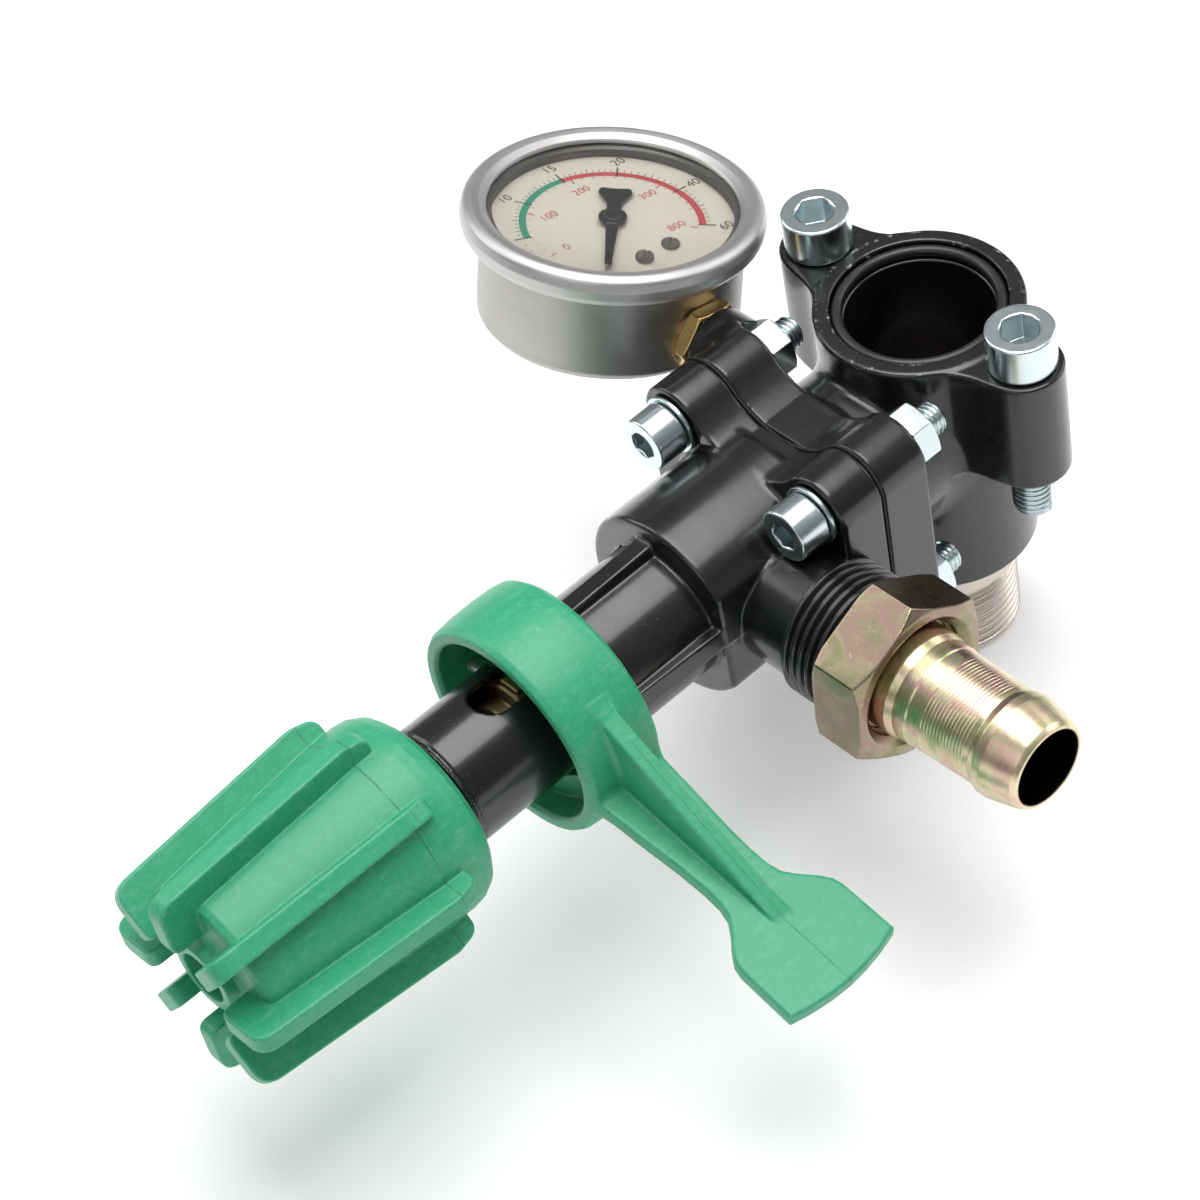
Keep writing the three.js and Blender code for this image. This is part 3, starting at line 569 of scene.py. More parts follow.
def plain(name, grain, low, high, rough, bump, fine=None, **sockets):
    """One noise sets colour, roughness and bumps; a finer one can be given for the bumps."""
    look = Look(name, **sockets)
    cloud = look.noise(*grain)
    look.colour(look.mix(cloud, low, high))
    look.roughness(look.span(cloud, 0.3, 0.7, *rough))
    look.bumps((look.noise(*fine) if fine else cloud, *bump))
    return look.material


def golden_brass(name, low, high, rough):
    return plain(name, (260, 4, 0.6), low, high, rough, (0.06, 0.04), (900, 3, 0.6), Metallic=1.0)


def print_coat(name, low, high, rough=(0.42, 0.55)):
    return plain(name, (900, 4, 0.6), low, high, rough, (0.05, 0.03), (2600, 3, 0.6),
                 Metallic=0.0, Specular_IOR_Level=0.4)


LACQUER = black_lacquer()
GREEN = green_nylon()
ZINC = zinc_plate()
# One yellow zinc twice: the nut's copy is darkened as painted shade, the tail's copy brightened as painted
# light.
YELLOW = yellow_passivate("shaded_yellow_nut", 0.62, 0.0136)
LIT_YELLOW = yellow_passivate("lit_yellow_tail", 1.40, 0.0093)
NICKEL = turned_metal("pale_nickel", (0.60, 0.53, 0.47), (0.72, 0.66, 0.60), (0.26, 0.42), (3800, 2, 0.6),
                      (120, 4, 0.6), (900, 3, 0.6), (0.25, 0.06), (0.08, 0.06))
BRASS = golden_brass("golden_brass", (0.58, 0.38, 0.13), (0.78, 0.56, 0.24), (0.16, 0.32))
# A darker, rougher copy of the brass: painted shade on the nut that sits inside the sleeve.
SHADED_BRASS = golden_brass("shaded_brass", (0.17, 0.13, 0.07), (0.34, 0.26, 0.13), (0.40, 0.55))
STEEL = plain("bright_steel", (300, 4, 0.6), (0.50, 0.50, 0.50), (0.66, 0.66, 0.65), (0.2, 0.34),
              (0.08, 0.04), (2500, 3, 0.6), Metallic=1.0)
BRUSHED = turned_metal("brushed_stainless", (0.40, 0.385, 0.37), (0.50, 0.485, 0.47), (0.36, 0.50),
                       (3000, 3, 0.65), (70, 3, 0.6), (900, 4, 0.6), (0.12, 0.04), (0.06, 0.04),
                       Anisotropic=0.35)
POLISHED = turned_metal("polished_stainless", (0.50, 0.49, 0.48), (0.61, 0.60, 0.59), (0.40, 0.52),
                        (2600, 2, 0.6), (90, 3, 0.6), (700, 3, 0.6), (0.08, 0.03), (0.05, 0.04))
RUBBER = plain("black_rubber", (1400, 4, 0.6), (0.010, 0.010, 0.010), (0.022, 0.022, 0.022), (0.28, 0.42),
               (0.12, 0.06), Metallic=0.0, Specular_IOR_Level=0.5)
FIBRE = plain("pressed_fibre", (1800, 5, 0.7), (0.004, 0.004, 0.004), (0.015, 0.015, 0.015), (0.7, 0.95),
              (0.3, 0.08), Metallic=0.0)
GLASS = plain("window_glass", (180, 4, 0.6), (0.96, 0.965, 0.96), (0.99, 0.99, 0.985), (0.03, 0.09),
              (0.02, 0.1), (60, 2, 0.5), Metallic=0.0, Transmission_Weight=1.0, IOR=1.49)
CREAM = print_coat("dial_cream", (0.79, 0.745, 0.63), (0.85, 0.80, 0.68))
INK = print_coat("dial_ink", (0.030, 0.030, 0.030), (0.045, 0.045, 0.045))
RED_INK = print_coat("dial_red", (0.60, 0.075, 0.085), (0.66, 0.09, 0.10))
GREEN_INK = print_coat("dial_green", (0.040, 0.33, 0.21), (0.055, 0.37, 0.24))
SEAL = print_coat("grey_seal", (0.085, 0.08, 0.075), (0.125, 0.12, 0.11), (0.5, 0.65))
DULL = print_coat("dull_screw", (0.13, 0.125, 0.10), (0.18, 0.17, 0.145))
NEEDLE = print_coat("needle_black", (0.015, 0.015, 0.015), (0.03, 0.03, 0.03), (0.3, 0.4))


# ---- castings ----

SCREW_AT = 22.3  # flange screws, both ways from the valve's axis
EAR_AT = 31.6  # ear screws, from the ring's axis
RING_R, RING_FOOT, RING_TOP = 24, -1.3, 29.6
COLUMN_FOOT = -41.3
RING_BORE, SEAT_BORE = 17.2, 20.4
FLANGE_SIDE, LOBE_AT, LOBE_R = 31.6, 22.1, 9.3
HOLLOW_AT, HOLLOW_R = 41.2, 20.06  # the arcs between the lobes
REAR_FACE, REAR_JOINT, FRONT_JOINT, FRONT_FACE = -31.3, -44.65, -45.55, -57.3
BOSS_Y, BOSS_Z, BOSS_R, BOSS_FACE = -32.6, 20.8, 9.5, -34.2
SHELL_R, SHELL_SIDE, SHELL_END = 23.7, 19.3, -85
BARREL_R, BARREL_BORE, BARREL_END = 16.8, 15.3, -121
RIB_R, RIB_END, RIB_TURN = 18.8, -112, math.radians(9)
PORT_R, PORT_BORE = 15.0, 11


def flange_plan(x, z):
    """Four lobes on straight sides, hollowed between the lobes at the top and bottom."""
    ax, az = np.abs(x), np.abs(z)
    box = np.maximum(ax - FLANGE_SIDE, az - LOBE_AT)
    lobes = np.hypot(ax - SCREW_AT, az - LOBE_AT) - LOBE_R
    hollow = HOLLOW_R - np.hypot(x, az - HOLLOW_AT)
    bridge = np.maximum(np.maximum(ax - 15.3, az - 28.2), hollow)
    return np.minimum(np.minimum(box, lobes), bridge)


def flange_screws(x, z, radius):
    return np.hypot(np.abs(x) - SCREW_AT, np.abs(z) - SCREW_AT) - radius


def manifold_body(x, y, z):
    spread = np.hypot(x, y)
    draft = np.clip((RING_FOOT - z) / 40, 0, 1)
    ring = spread - RING_R + 1.3 * draft
    ears = np.hypot(np.abs(x) - EAR_AT, y) - 9.4
    upper = common(union(ring, ears, 12), slab(z, RING_FOOT, RING_TOP), 0.7)
    column = common(ring, slab(z, COLUMN_FOOT, RING_TOP), 0.7)
    body = union(upper, column, 1.2)
    neck = rod(x, z, y, 21.2, -8, -33, 0.4)
    body = union(body, neck, 2.6)
    plate = common(common(flange_plan(x, z), y - REAR_FACE, 0.8), REAR_JOINT - y, 0.22)
    body = union(body, plate, 1.6)
    boss = rod(y - BOSS_Y, z - BOSS_Z, x, BOSS_R, BOSS_FACE, -26, 0.6)
    body = union(body, boss, 2.0)
    body = without(body, rod(x, y, z, RING_BORE, -14, 40, 0.5), 0.35)
    body = without(body, rod(x, y, z, SEAT_BORE, 26.6, 40, 0.3), 0.4)
    body = without(body, rod(x, y, z, 13.2, -50, -10, 0.2), 0.5)
    body = without(body, rod(x, z, y, 12, 0, -50, 0.3), 0.5)
    body = without(body, rod(x, z, y, 14.2, -39.3, -50, 0.2), 0.3)
    body = without(body, common(flange_screws(x, z, 4.4), slab(y, -20, -50)), 0.3)
    body = without(body, np.hypot(np.abs(x) - EAR_AT, y) - 5.5, 0.4)
    return without(body, rod(y - BOSS_Y, z - BOSS_Z, x, 6.7, -40, -28.6, 0.2), 0.4)


def ribs(x, y, z):
    turn = np.arctan2(z, x) - RIB_TURN
    turn = (turn + PI / 4) % (PI / 2) - PI / 4
    spread = np.hypot(x, z)
    along, across = spread * np.cos(turn), spread * np.sin(turn)
    crest = along - RIB_R - 0.03 * (y - RIB_END)
    rib = common(np.maximum(crest, 14 - along), slab(across, -2.5, 2.5), 0.45)
    return common(rib, slab(y, -80, RIB_END), 0.5)


def valve_bonnet(x, y, z):
    plate = common(common(flange_plan(x, z), FRONT_FACE - y, 0.8), y - FRONT_JOINT, 0.22)
    shell = rod(x, z, y, SHELL_R, -50, SHELL_END, 1.3)
    shell = common(shell, x - SHELL_SIDE, 0.8)
    port = rod(y - HOSE_Y, z, x, PORT_R, 5, 33, 0.8)
    body = union(union(plate, shell, 1.6), port, 0.5)
    spots = np.maximum(flange_screws(x, z, 7.9), np.maximum(y - FRONT_FACE, SHELL_END - y))
    body = without(body, spots, 0.5)
    barrel = rod(x, z, y, BARREL_R, -80, BARREL_END, 0.7)
    body = union(body, union(barrel, ribs(x, y, z), 0.35), 0.8)
    body = union(body, rod(y - HOSE_Y, z, x, PORT_R - 0.1, 20, 49.3, 0.8), 0.3)
    body = without(body, rod(x, z, y, 12.5, -40, -72, 0.4), 0.4)
    body = without(body, rod(y - HOSE_Y, z, x, PORT_BORE, 0, 60, 0.3), 0.6)
    body = without(body, rod(x, z, y, 8.3, -60, -90, 0.2), 0.3)
    body = without(body, rod(x, z, y, BARREL_BORE, -80, -130, 0.3), 0.4)
    dimple = np.hypot(np.hypot(x + 11.3, z - 10.8), y + 85.9) - 1.5
    body = without(body, dimple, 0.2)
    return without(body, np.maximum(flange_screws(x, z, 4.4), np.abs(y + 50) - 12), 0.3)


STEP = 0.45

add_piece("rear_casting", skin("rear_casting", manifold_body, (-43, -47, -44), (43, 26, 32), STEP),
          "housing", LACQUER, nodes=["manifold_body"])

port_thread = threaded("port_thread", 16.7, 2.31, 31.8, 49.5, 12.5, 1.35, 0.9, 0.35)
bonnet = skin("front_casting", valve_bonnet, (-33, -124, -33), (51, -43, 33), STEP)
hose_local = Matrix.Translation(-SHIFT * MM) @ HOSE
add_piece("front_casting", merge("front_casting", bonnet, (port_thread, hose_local)),
          "housing", LACQUER, nodes=["valve_bonnet"])


# ---- moulded knob and lever ----

KNOB_CORE = [
    (0, 161.5), (16.1, 161.5), (16.1, 156.3), (17.2, 155.9), (20.6, 156.9), (22.9, 158.6), (24.2, 161.2),
    (24.6, 164), (24.45, 171.2), (20.5, 214.2), (19.9, 215.6), (18.4, 216.2),
    (9.8, 216.6), (8.6, 219.5), (6.3, 219.5), (6.3, 206), (0, 206),
]
KNOB_FIN = soften([
    (18, 166.6), (28.6, 166.0, 4.2), (29.9, 172.5, 3.0), (26.0, 224.1, 5.0),
    (12.5, 224.1, 2.6), (12.5, 213), (18, 210),
], 8)
FINS = 8


def pressure_knob(x, y, z):
    spread = np.hypot(x, z)
    core = outline_distance(KNOB_CORE, spread, -y)
    turn = np.arctan2(z, x) - math.radians(5)
    turn = (turn + PI / FINS) % (2 * PI / FINS) - PI / FINS
    along, across = spread * np.cos(turn), spread * np.sin(turn)
    taper = 2.45 - 0.25 * np.clip((along - 22) / 8, 0, 1)
    fin = common(outline_distance(KNOB_FIN, along, -y), np.abs(across) - taper, 0.55)
    body = union(core, fin)
    return without(body, np.maximum(spread - 6.3, 160 + y), 0.2)


LEVER_RING = [
    (17.1, 112.3), (25.8, 112.3), (26.9, 113.4), (27.3, 116), (27.5, 121), (27.4, 127), (27.0, 131.6),
    (26.2, 133), (23.9, 133), (23.2, 132.2), (23.2, 121.7), (17.1, 121.7),
]
BLADE = [
    (24, 9.7), (32, 8.9), (40, 8.3), (50, 7.35), (57, 7.0), (62, 7.15), (65.5, 8.0), (68.5, 10.2),
    (71.5, 12.9), (74, 14.6), (76.5, 15.2), (91.2, 15.45), (92.4, 10.5), (93.2, 5.2), (93.5, 0),
]
BLADE_OUTLINE = BLADE + [(u, -v) for u, v in reversed(BLADE[:-1])]
RAMP_FOOT, RAMP_RISE, RAMP_SPAN = 121.65, 6, 95
WEB_LENGTH, WEB_RISE = 56.3, 18.8


def bypass_lever(x, y, z):
    """The ring with its webbed blade, and two cam ramps climbing inside the ring."""
    spread = np.hypot(x, z)
    ring = outline_distance(LEVER_RING, spread, -y)
    lean = math.radians(-13)
    along = x * math.cos(lean) + z * math.sin(lean)
    across = -x * math.sin(lean) + z * math.cos(lean)
    middle = -LEVER_SEAM - y
    blade = common(outline_distance(BLADE_OUTLINE, along, middle), np.abs(across) - 2.05, 0.7)
    slope = math.hypot(WEB_LENGTH, WEB_RISE)
    web = ((np.abs(across) - 2.2) * WEB_LENGTH + (along - 73.5) * WEB_RISE) / slope
    web = common(np.maximum(web, 17.6 - along), np.abs(middle) - 2.3, 0.5)
    arm = union(blade, web, 0.4)
    arm = np.maximum(arm, 25.2 - spread)
    body = union(ring, arm, 1.6)
    for start in (0, PI):
        turn = (start - math.radians(3) - np.arctan2(z, x)) % (2 * PI)
        climb = RAMP_RISE * np.degrees(turn) / RAMP_SPAN
        ramp = np.maximum((-y) - (RAMP_FOOT + climb), 119 + y)
        ramp = np.maximum(ramp * 0.95, np.abs(spread - 20.4) - 3.2)
        ramp = np.maximum(ramp, (turn - math.radians(RAMP_SPAN)) * spread)
        body = union(body, ramp, 0)
    return body


knob = skin("moulded_knob", pressure_knob, (-31, -225.5, -31), (31, -154, 31), STEP * 0.8)
add_piece("moulded_knob", knob, "knob", GREEN, nodes=["pressure_knob"])
lever = skin("moulded_lever", bypass_lever, (-29, -139.5, -30), (93, -106.5, 30), STEP)
add_piece("moulded_lever", lever, "lever", GREEN, nodes=["bypass_lever"])


# ---- sleeve ----

SLEEVE = [
    (12.8, 102), (14.7, 102), (15, 102.4), (15, 153.0), (14.6, 153.3), (14.6, 153.9), (15, 154.2),
    (15, 154.6), (14.0, 154.9), (14.0, 157.2), (15, 157.5), (15, 159.7), (14.7, 160), (6.4, 160),
    (6.4, 152), (12.8, 152),
]


def adjusting_sleeve(x, y, z):
    tube = outline_distance(SLEEVE, np.hypot(x, z), -y)
    slot = np.hypot(x, np.maximum(np.abs(y + 126.5) - 8.25, 0)) - 5.25
    return without(tube, np.maximum(slot, 6 - z), 0.45)


sleeve = skin("machined_sleeve", adjusting_sleeve, (-16.5, -161.5, -16.5), (16.5, -100, 16.5), STEP)
add_piece("machined_sleeve", sleeve, "sleeve", LACQUER, nodes=["adjusting_sleeve"])


# ---- fasteners ----

def hexagon(u, v, flats):
    sides = [np.abs(u * math.cos(a) + v * math.sin(a)) for a in (0, PI / 3, 2 * PI / 3)]
    return np.max(sides, axis=0) - flats / 2


def cap_screw(name, head, height, socket, shank, length, pitch, step):
    """Head from z = 0 up, shank downwards."""
    def distance(x, y, z):
        body = common(np.hypot(x, y) - head, slab(z, 0, height), 0.6)
        body = union(body, rod(x, y, z, shank - 0.5, -2.0, 1, 0.1), 0.5)
        spread = np.hypot(x, y)
        key = np.maximum(hexagon(x, y, socket), height * 0.3 - z)
        body = without(body, key, 0.08)
        mouth = np.maximum((spread - socket * 0.53 - (z - height + 0.3)) * 0.7, height - 0.8 - z)
        return without(body, mouth, 0.1)

    top = skin(name, distance, (-head - 1, -head - 1, -3), (head + 1, head + 1, height + 1), step)
    stem = threaded(name + "_thread", shank, pitch, -length, -1.2, 1.0, 0.62 * pitch, 0.8, segments=48)
    return merge(name, top, stem)


def hex_nut(name, flats, height, hole, step):
    def distance(x, y, z):
        spread = np.hypot(x, y)
        body = common(hexagon(x, y, flats), slab(z, 0, height), 0.15)
        lens = (spread - flats / 2 - 0.1) * 0.5 + np.maximum(-z, z - height) * 0.87
        body = common(body, lens, 0.1)
        body = without(body, spread - hole, 0.2)
        return without(body, (spread - hole + np.minimum(z, height - z) - 0.7) * 0.7, 0.1)

    return skin(name, distance, (-flats * 0.6 - 1,) * 2 + (-1,), (flats * 0.6 + 1,) * 2 + (height + 1,), step)


FINE = 0.2
small_screw = cap_screw("m8_screw", 6.5, 8, 6.2, 3.95, 40.0, 1.25, FINE)
large_screw = cap_screw("m10_screw", 8, 10, 8.3, 4.95, 45, 1.5, FINE)
small_nut = hex_nut("m8_nut", 13, 6.5, 3.6, FINE)
washer = turned("flat_washer", [(4.3, 0, 0.15), (7.3, 0, 0.25), (7.3, 1, 0.25), (4.3, 1, 0.15)], 64)


def fasten(name, mesh, node, at, z, x=None):
    add_piece(name, mesh.copy(), "housing", ZINC, place(at, z, x), [node])


# Each fastener has stopped at a turn of its own, in degrees.
key_turns = [12, 47, 31, 5]
nut_turns = [66, 79, 40, 80]
centres = [(x, z) for z in (SCREW_AT, -SCREW_AT) for x in (-SCREW_AT, SCREW_AT)]
for k, (x, z) in enumerate(centres):
    n = k + 1
    key, nut = math.radians(key_turns[k]), math.radians(nut_turns[k])
    fasten(f"flange_screw_{n}", small_screw, f"bonnet_screw_{n}", (x, -58.9, z), (0, -1, 0),
           (math.cos(key), 0, math.sin(key)))
    fasten(f"flange_washer_{n}", washer, f"bonnet_washer_{n}", (x, -57.6, z), (0, -1, 0))
    fasten(f"flange_nut_{n}", small_nut, f"bonnet_nut_{n}", (x, -31.0, z), (0, 1, 0),
           (math.cos(nut), 0, math.sin(nut)))
for name, side, turn in (("left", -1, 0.40), ("right", 1, -0.38)):
    fasten(f"ear_screw_{name}", large_screw, f"ring_screw_{name}", (side * EAR_AT, 0, 29.9), (0, 0, 1),
           (math.cos(turn), math.sin(turn), 0))


# ---- ring and nipple ----

def torus(name, radius, section, sides=24):
    spins = [2 * PI * k / sides for k in range(sides)]
    profile = [(radius + section * math.cos(spin), section * math.sin(spin)) for spin in spins]
    return turned(name, profile)


add_piece("ring_oring", torus("ring_oring", 18.8, 1.3), "housing", RUBBER,
          place((0, 0, 28.2)), ["inlet_oring"])
add_piece("sleeve_ring", torus("sleeve_ring", 15, 0.75, sides=16), "sleeve", RUBBER,
          place((0, -156, 0), (0, -1, 0)), ["knob_seal"])

nipple = turned("nipple", [
    (10.5, -17, 0.3), (12.9, -17, 0.3), (12.9, -41.6), (17.3, -41.6, 0.3), (17.5, -50.4, 0.4),
    (15.6, -51.4, 0.4), (15.6, -57.6, 0.3), (14.6, -57.6), (14.6, -71.6), (15.4, -71.9, 0.3),
    (14.6, -72.3, 0.3), (10.5, -72.3, 0.5),
])
nipple_thread = threaded("nipple_thread", 16.7, 2.31, -72.0, -52.5, 12, 1.35, 1.4)
add_piece("plated_nipple", merge("plated_nipple", nipple, nipple_thread), "housing", NICKEL,
          place(), ["outlet_nipple"])


# ---- hose union ----

def union_nut(x, y, z):
    spread = np.hypot(x, y)
    turn = math.radians(56)
    u, v = x * math.cos(turn) + y * math.sin(turn), -x * math.sin(turn) + y * math.cos(turn)
    body = common(hexagon(u, v, 37), slab(z, 45, 59.1), 0.25)
    crown = (spread - 18.6) * 0.5 + (z - 59.1) * 0.87
    foot = (spread - 19.6) * 0.5 + (45 - z) * 0.87
    body = common(common(body, crown, 0.15), foot, 0.15)
    body = without(body, np.maximum(spread - 17, z - 53.8), 0.3)
    body = without(body, spread - 14, 0.2)
    return without(body, (spread - 16.2 - (z - 59.1)) * 0.7, 0.2)


add_piece("hexagon_union", skin("hexagon_union", union_nut, (-23, -23, 43.5), (23, 23, 60.5), FINE * 1.6),
          "union", YELLOW, HOSE, ["union_nut"])

GROOVES, GROOVE_PITCH, GROOVE_DEPTH = 14, 0.9, 0.09
tail = [
    (9.1, 51.5, 0.3), (16.4, 51.5, 0.3), (16.4, 53.5, 0.2), (13.0, 53.5), (13.0, 60.6, 0.8),
    (12.35, 62.4, 0.6), (12.35, 65.8, 0.3), (12.15, 66.3, 0.3), (12.1, 69.5, 0.3),
]
for k in range(GROOVES):
    start, r = 70.2 + GROOVE_PITCH * k, 12.05 - 0.016 * k
    tail += [(r, start, 0.08), (r - GROOVE_DEPTH, start + 0.2, 0.08), (r, start + 0.4, 0.08)]
tail += [
    (11.65, 83.6, 0.6), (12.5, 85.4, 0.9), (12.5, 87.6, 2.0), (11.7, 91.4, 2.0), (10.8, 94.8, 1.0),
    (10.1, 96, 0.4), (9.1, 96, 0.3),
]
add_piece("grooved_tail", turned("grooved_tail", tail, 160), "tail", LIT_YELLOW,
          HOSE, ["hose_tail"])


# ---- gauge ----

add_piece("case_shell", turned("case_shell", [
    (0, -28.7), (30.0, -28.7, 0.1), (31.2, -27.2, 1.5), (31.2, -5.6, 0.2), (32.6, -4.8, 0.2), (32.6, -3.4),
    (29.6, -3.4), (29.6, -26.5, 0.8), (0, -26.5),
], 160), "housing", BRUSHED, GAUGE, ["gauge_case"])

add_piece("case_bezel", turned("case_bezel", [
    (31.5, -6.0, 0.2), (34.5, -6.0, 0.9), (35.5, -4.4, 1.6), (35.8, -2.0, 2.0), (35.2, 0.3, 2.0),
    (33.5, 1.5, 2.2), (31.4, 1.1, 1.4), (29.8, 0.2, 0.6), (29.5, -0.4, 0.2), (29.5, -0.82),
    (33, -0.82), (33, -5.1), (31.5, -5.1),
], 192, 6), "housing", POLISHED, GAUGE, ["gauge_bezel"])

add_piece("case_window", turned("case_window", [
    (0, -2.9), (32.6, -2.9, 0.1), (32.6, -0.9, 0.1), (0, -0.9),
], 128), "housing", GLASS, GAUGE, ["gauge_window"])

# The dial is printed as thin raised ink on its own face. Angles run from the stem, anticlockwise.
DIAL_TOP, ARC_LIFT, INK_LIFT = -5.8, 0.02, 0.04
MARKS_R, NUMBERS_R = 23.6, 26.0  # black scale: its longest marks and its numbers
FINE_R, FINE_NUMBERS_R = 19.6, 14.6  # red scale inside the coloured arcs
ARC_IN, ARC_OUT = 19.7, 21.4
GREEN_FROM, RED_FROM, RED_TO = 248.5, 172.8, 48.1


def polar(radius, angle, lift):
    a = math.radians(angle)
    return radius * math.cos(a), radius * math.sin(a), DIAL_TOP + lift


def band(inner, outer, start, end, steps):
    angles = [start + (end - start) * k / steps for k in range(steps + 1)]
    verts = [polar(r, angle, ARC_LIFT) for angle in angles for r in (inner, outer)]
    faces = [(2 * k, 2 * k + 1, 2 * k + 3, 2 * k + 2) for k in range(steps)]
    return mesh_of("band", verts, faces)


def stroke(inner, outer, angle, width):
    a = math.radians(angle)
    along, across = Vector((math.cos(a), math.sin(a), 0)), Vector((-math.sin(a), math.cos(a), 0)) * width / 2
    lift = Vector((0, 0, DIAL_TOP + INK_LIFT))
    ends = [along * inner - across, along * outer - across, along * outer + across, along * inner + across]
    return mesh_of("stroke", [tuple(v + lift) for v in ends], [(0, 1, 2, 3)])


def numeral(text, radius, angle, size):
    curve = bpy.data.curves.new("numeral", "FONT")
    curve.body, curve.size = text, size * MM
    curve.align_x, curve.align_y = "CENTER", "CENTER"
    holder = bpy.data.objects.new("numeral", curve)
    mesh = bpy.data.meshes.new_from_object(holder)
    bpy.data.objects.remove(holder)
    at = Vector(polar(radius, angle, INK_LIFT)) * MM
    return mesh, Matrix.Translation(at) @ Matrix.Rotation(PI / 2, 4, "Z")


SCALE = [(314.2, "0"), (248.5, "5"), (209.5, "10"), (172.0, "15"), (134.6, "20"), (91.2, "40"), (48.1, "60")]
ink, red = [], []
for (start, label), (end, _) in zip(SCALE, SCALE[1:] + [(None, None)]):
    ink.append(stroke(19.4, MARKS_R, start, 0.42))
    ink.append(numeral(label, NUMBERS_R, start, 3.6))
    if end is not None:
        for k in range(1, 10):
            ink.append(stroke(21.6, 22.9 if k == 5 else 22.4, start + (end - start) * k / 10, 0.22))
for angle, label in ((273, "0"), (221.3, "100"), (167, "200"), (103.6, "300"), (45, "800")):
    red.append(stroke(17.9, FINE_R, angle, 0.34))
    red.append(numeral(label, FINE_NUMBERS_R, angle, 3.2))
for k in range(1, 30):
    red.append(stroke(18.7, FINE_R, 273 - 228 * k / 30, 0.18))
red.append(band(ARC_IN, ARC_OUT, RED_FROM, RED_TO, 60))
printed = {
    "print_black": (merge("print_black", *ink), INK),
    "print_red": (merge("print_red", *red), RED_INK),
    "print_green": (band(ARC_IN, ARC_OUT, GREEN_FROM, RED_FROM, 40), GREEN_INK),
}
for name, (mesh, looks) in printed.items():
    mesh.shade_flat()
    add_piece(name, mesh, "housing", looks, GAUGE)

add_piece("dial_plate", turned("dial_plate", [
    (0, -6.6), (29.2, -6.6), (29.3, -6.5, 0.05), (29.3, DIAL_TOP, 0.1), (0, DIAL_TOP),
], 128), "housing", CREAM, GAUGE, ["gauge_dial"])
add_piece("window_seal", turned("window_seal", [
    (28.1, -5.7, 0.1), (29.2, -5.7, 0.1), (29.2, -3.35), (32.4, -3.35, 0.1),
    (32.4, -2.95, 0.1), (28.1, -2.95, 0.15),
], 128), "housing", SEAL, GAUGE, ["window_gasket"])


STEM_DROP = 20.5
STEM_HEX, STEM_BACK, STEM_FRONT = 17, 31.3, 35.5


def stem_fitting(x, y, z):
    z = z + STEM_DROP
    spread = np.hypot(y, z)
    body = common(hexagon(z, y, STEM_HEX), slab(x, STEM_BACK, STEM_FRONT), 0.35)
    body = common(body, (spread - 8.7) * 0.5 + np.maximum(STEM_BACK - x, x - STEM_FRONT) * 0.87, 0.2)
    body = union(body, rod(y, z, x, 7.9, 29, 32, 0.2), 0.4)
    body = union(body, rod(y, z, x, 6.4, 35, 40.9, 0.4), 0.4)
    socket = common(common(slab(y, -5, 5), slab(z, -4.7, 4.7)), slab(x, 20.1, 30), 0.4)
    return without(union(body, socket, 0.3), rod(y, z, x, 2.2, 18, 42, 0.1), 0.1)


stem = skin("stem_fitting", stem_fitting, (19, -11, -32), (42, 11, -9), FINE * 1.6)
add_piece("stem_fitting", stem, "housing", BRASS, GAUGE, ["gauge_stem"])


def dial_screw(x, y, z):
    head = rod(x, y, z, 2.15, -5.78, -5.1, 0.25)
    shank = rod(x, y, z, 1.1, -8.6, -5.4, 0.1)
    slot = np.maximum(np.abs(x + 0.6 * y) - 0.3, -5.45 - z)
    return without(union(head, shank), slot, 0.05)


for k, y in enumerate((4.0, -4.0)):
    name = f"slotted_screw_{k + 1}"
    mesh = skin(name, dial_screw, (-2.4, -2.4, -9), (2.4, 2.4, -4.8), 0.12)
    at = GAUGE @ Matrix.Translation(Vector((15.0, y, 0)) * MM)
    add_piece(name, mesh, "housing", DULL, at, [f"dial_screw_{k + 1}"])


NEEDLE_TURN = math.radians(45.8)
NEEDLE_PLAN = soften([
    (18.8, -0.8, 0.2), (18.8, 0.8, 0.2), (3, 1.45), (-6.2, 1.7, 3), (-10.6, 4.0, 1.5), (-12.6, 3.6, 1.0),
    (-12.2, 0), (-12.6, -3.6, 1.0), (-10.6, -4.0, 1.5), (-6.2, -1.7, 3), (3, -1.45),
], 6)


def needle(x, y, z):
    """The pointer's blade on its hub, pointing at the scale's zero."""
    u = x * math.cos(NEEDLE_TURN) - y * math.sin(NEEDLE_TURN)
    v = x * math.sin(NEEDLE_TURN) + y * math.cos(NEEDLE_TURN)
    body = common(outline_distance(NEEDLE_PLAN, u, v), slab(z, -4.8, -4.35), 0.12)
    hub = rod(x, y, z, 3.3, -4.9, -4.0, 0.35)
    dome = rod(x, y, z, 2.2, -4.4, -3.5, 0.5)
    return union(union(union(body, hub, 0.2), dome, 0.3), rod(x, y, z, 1.2, -9.4, -4.5, 0.1))


add_piece("needle", skin("needle", needle, (-14, -16, -9.8), (16, 14, -3.2), 0.18),
          "needle", NEEDLE, GAUGE, ["gauge_pointer"])


# ---- spring and its nut ----

def guide_nut(x, y, z):
    body = union(rod(x, z, y, 12.0, -131.2, -126.2, 0.8), rod(x, z, y, 8.6, -135.4, -128, 0.8), 0.5)
    lug = common(common(np.abs(x) - 2.8, slab(y, -130.2, -126.2), 0.5), slab(z, 9, 13.2), 0.5)
    return without(union(body, lug, 0.4), np.hypot(x, z) - 6.4, 0.3)


add_piece("guide_nut", skin("guide_nut", guide_nut, (-13.5, -137, -13.5), (13.5, -125, 15), FINE * 2),
          "nut", SHADED_BRASS, nodes=["spring_nut"])


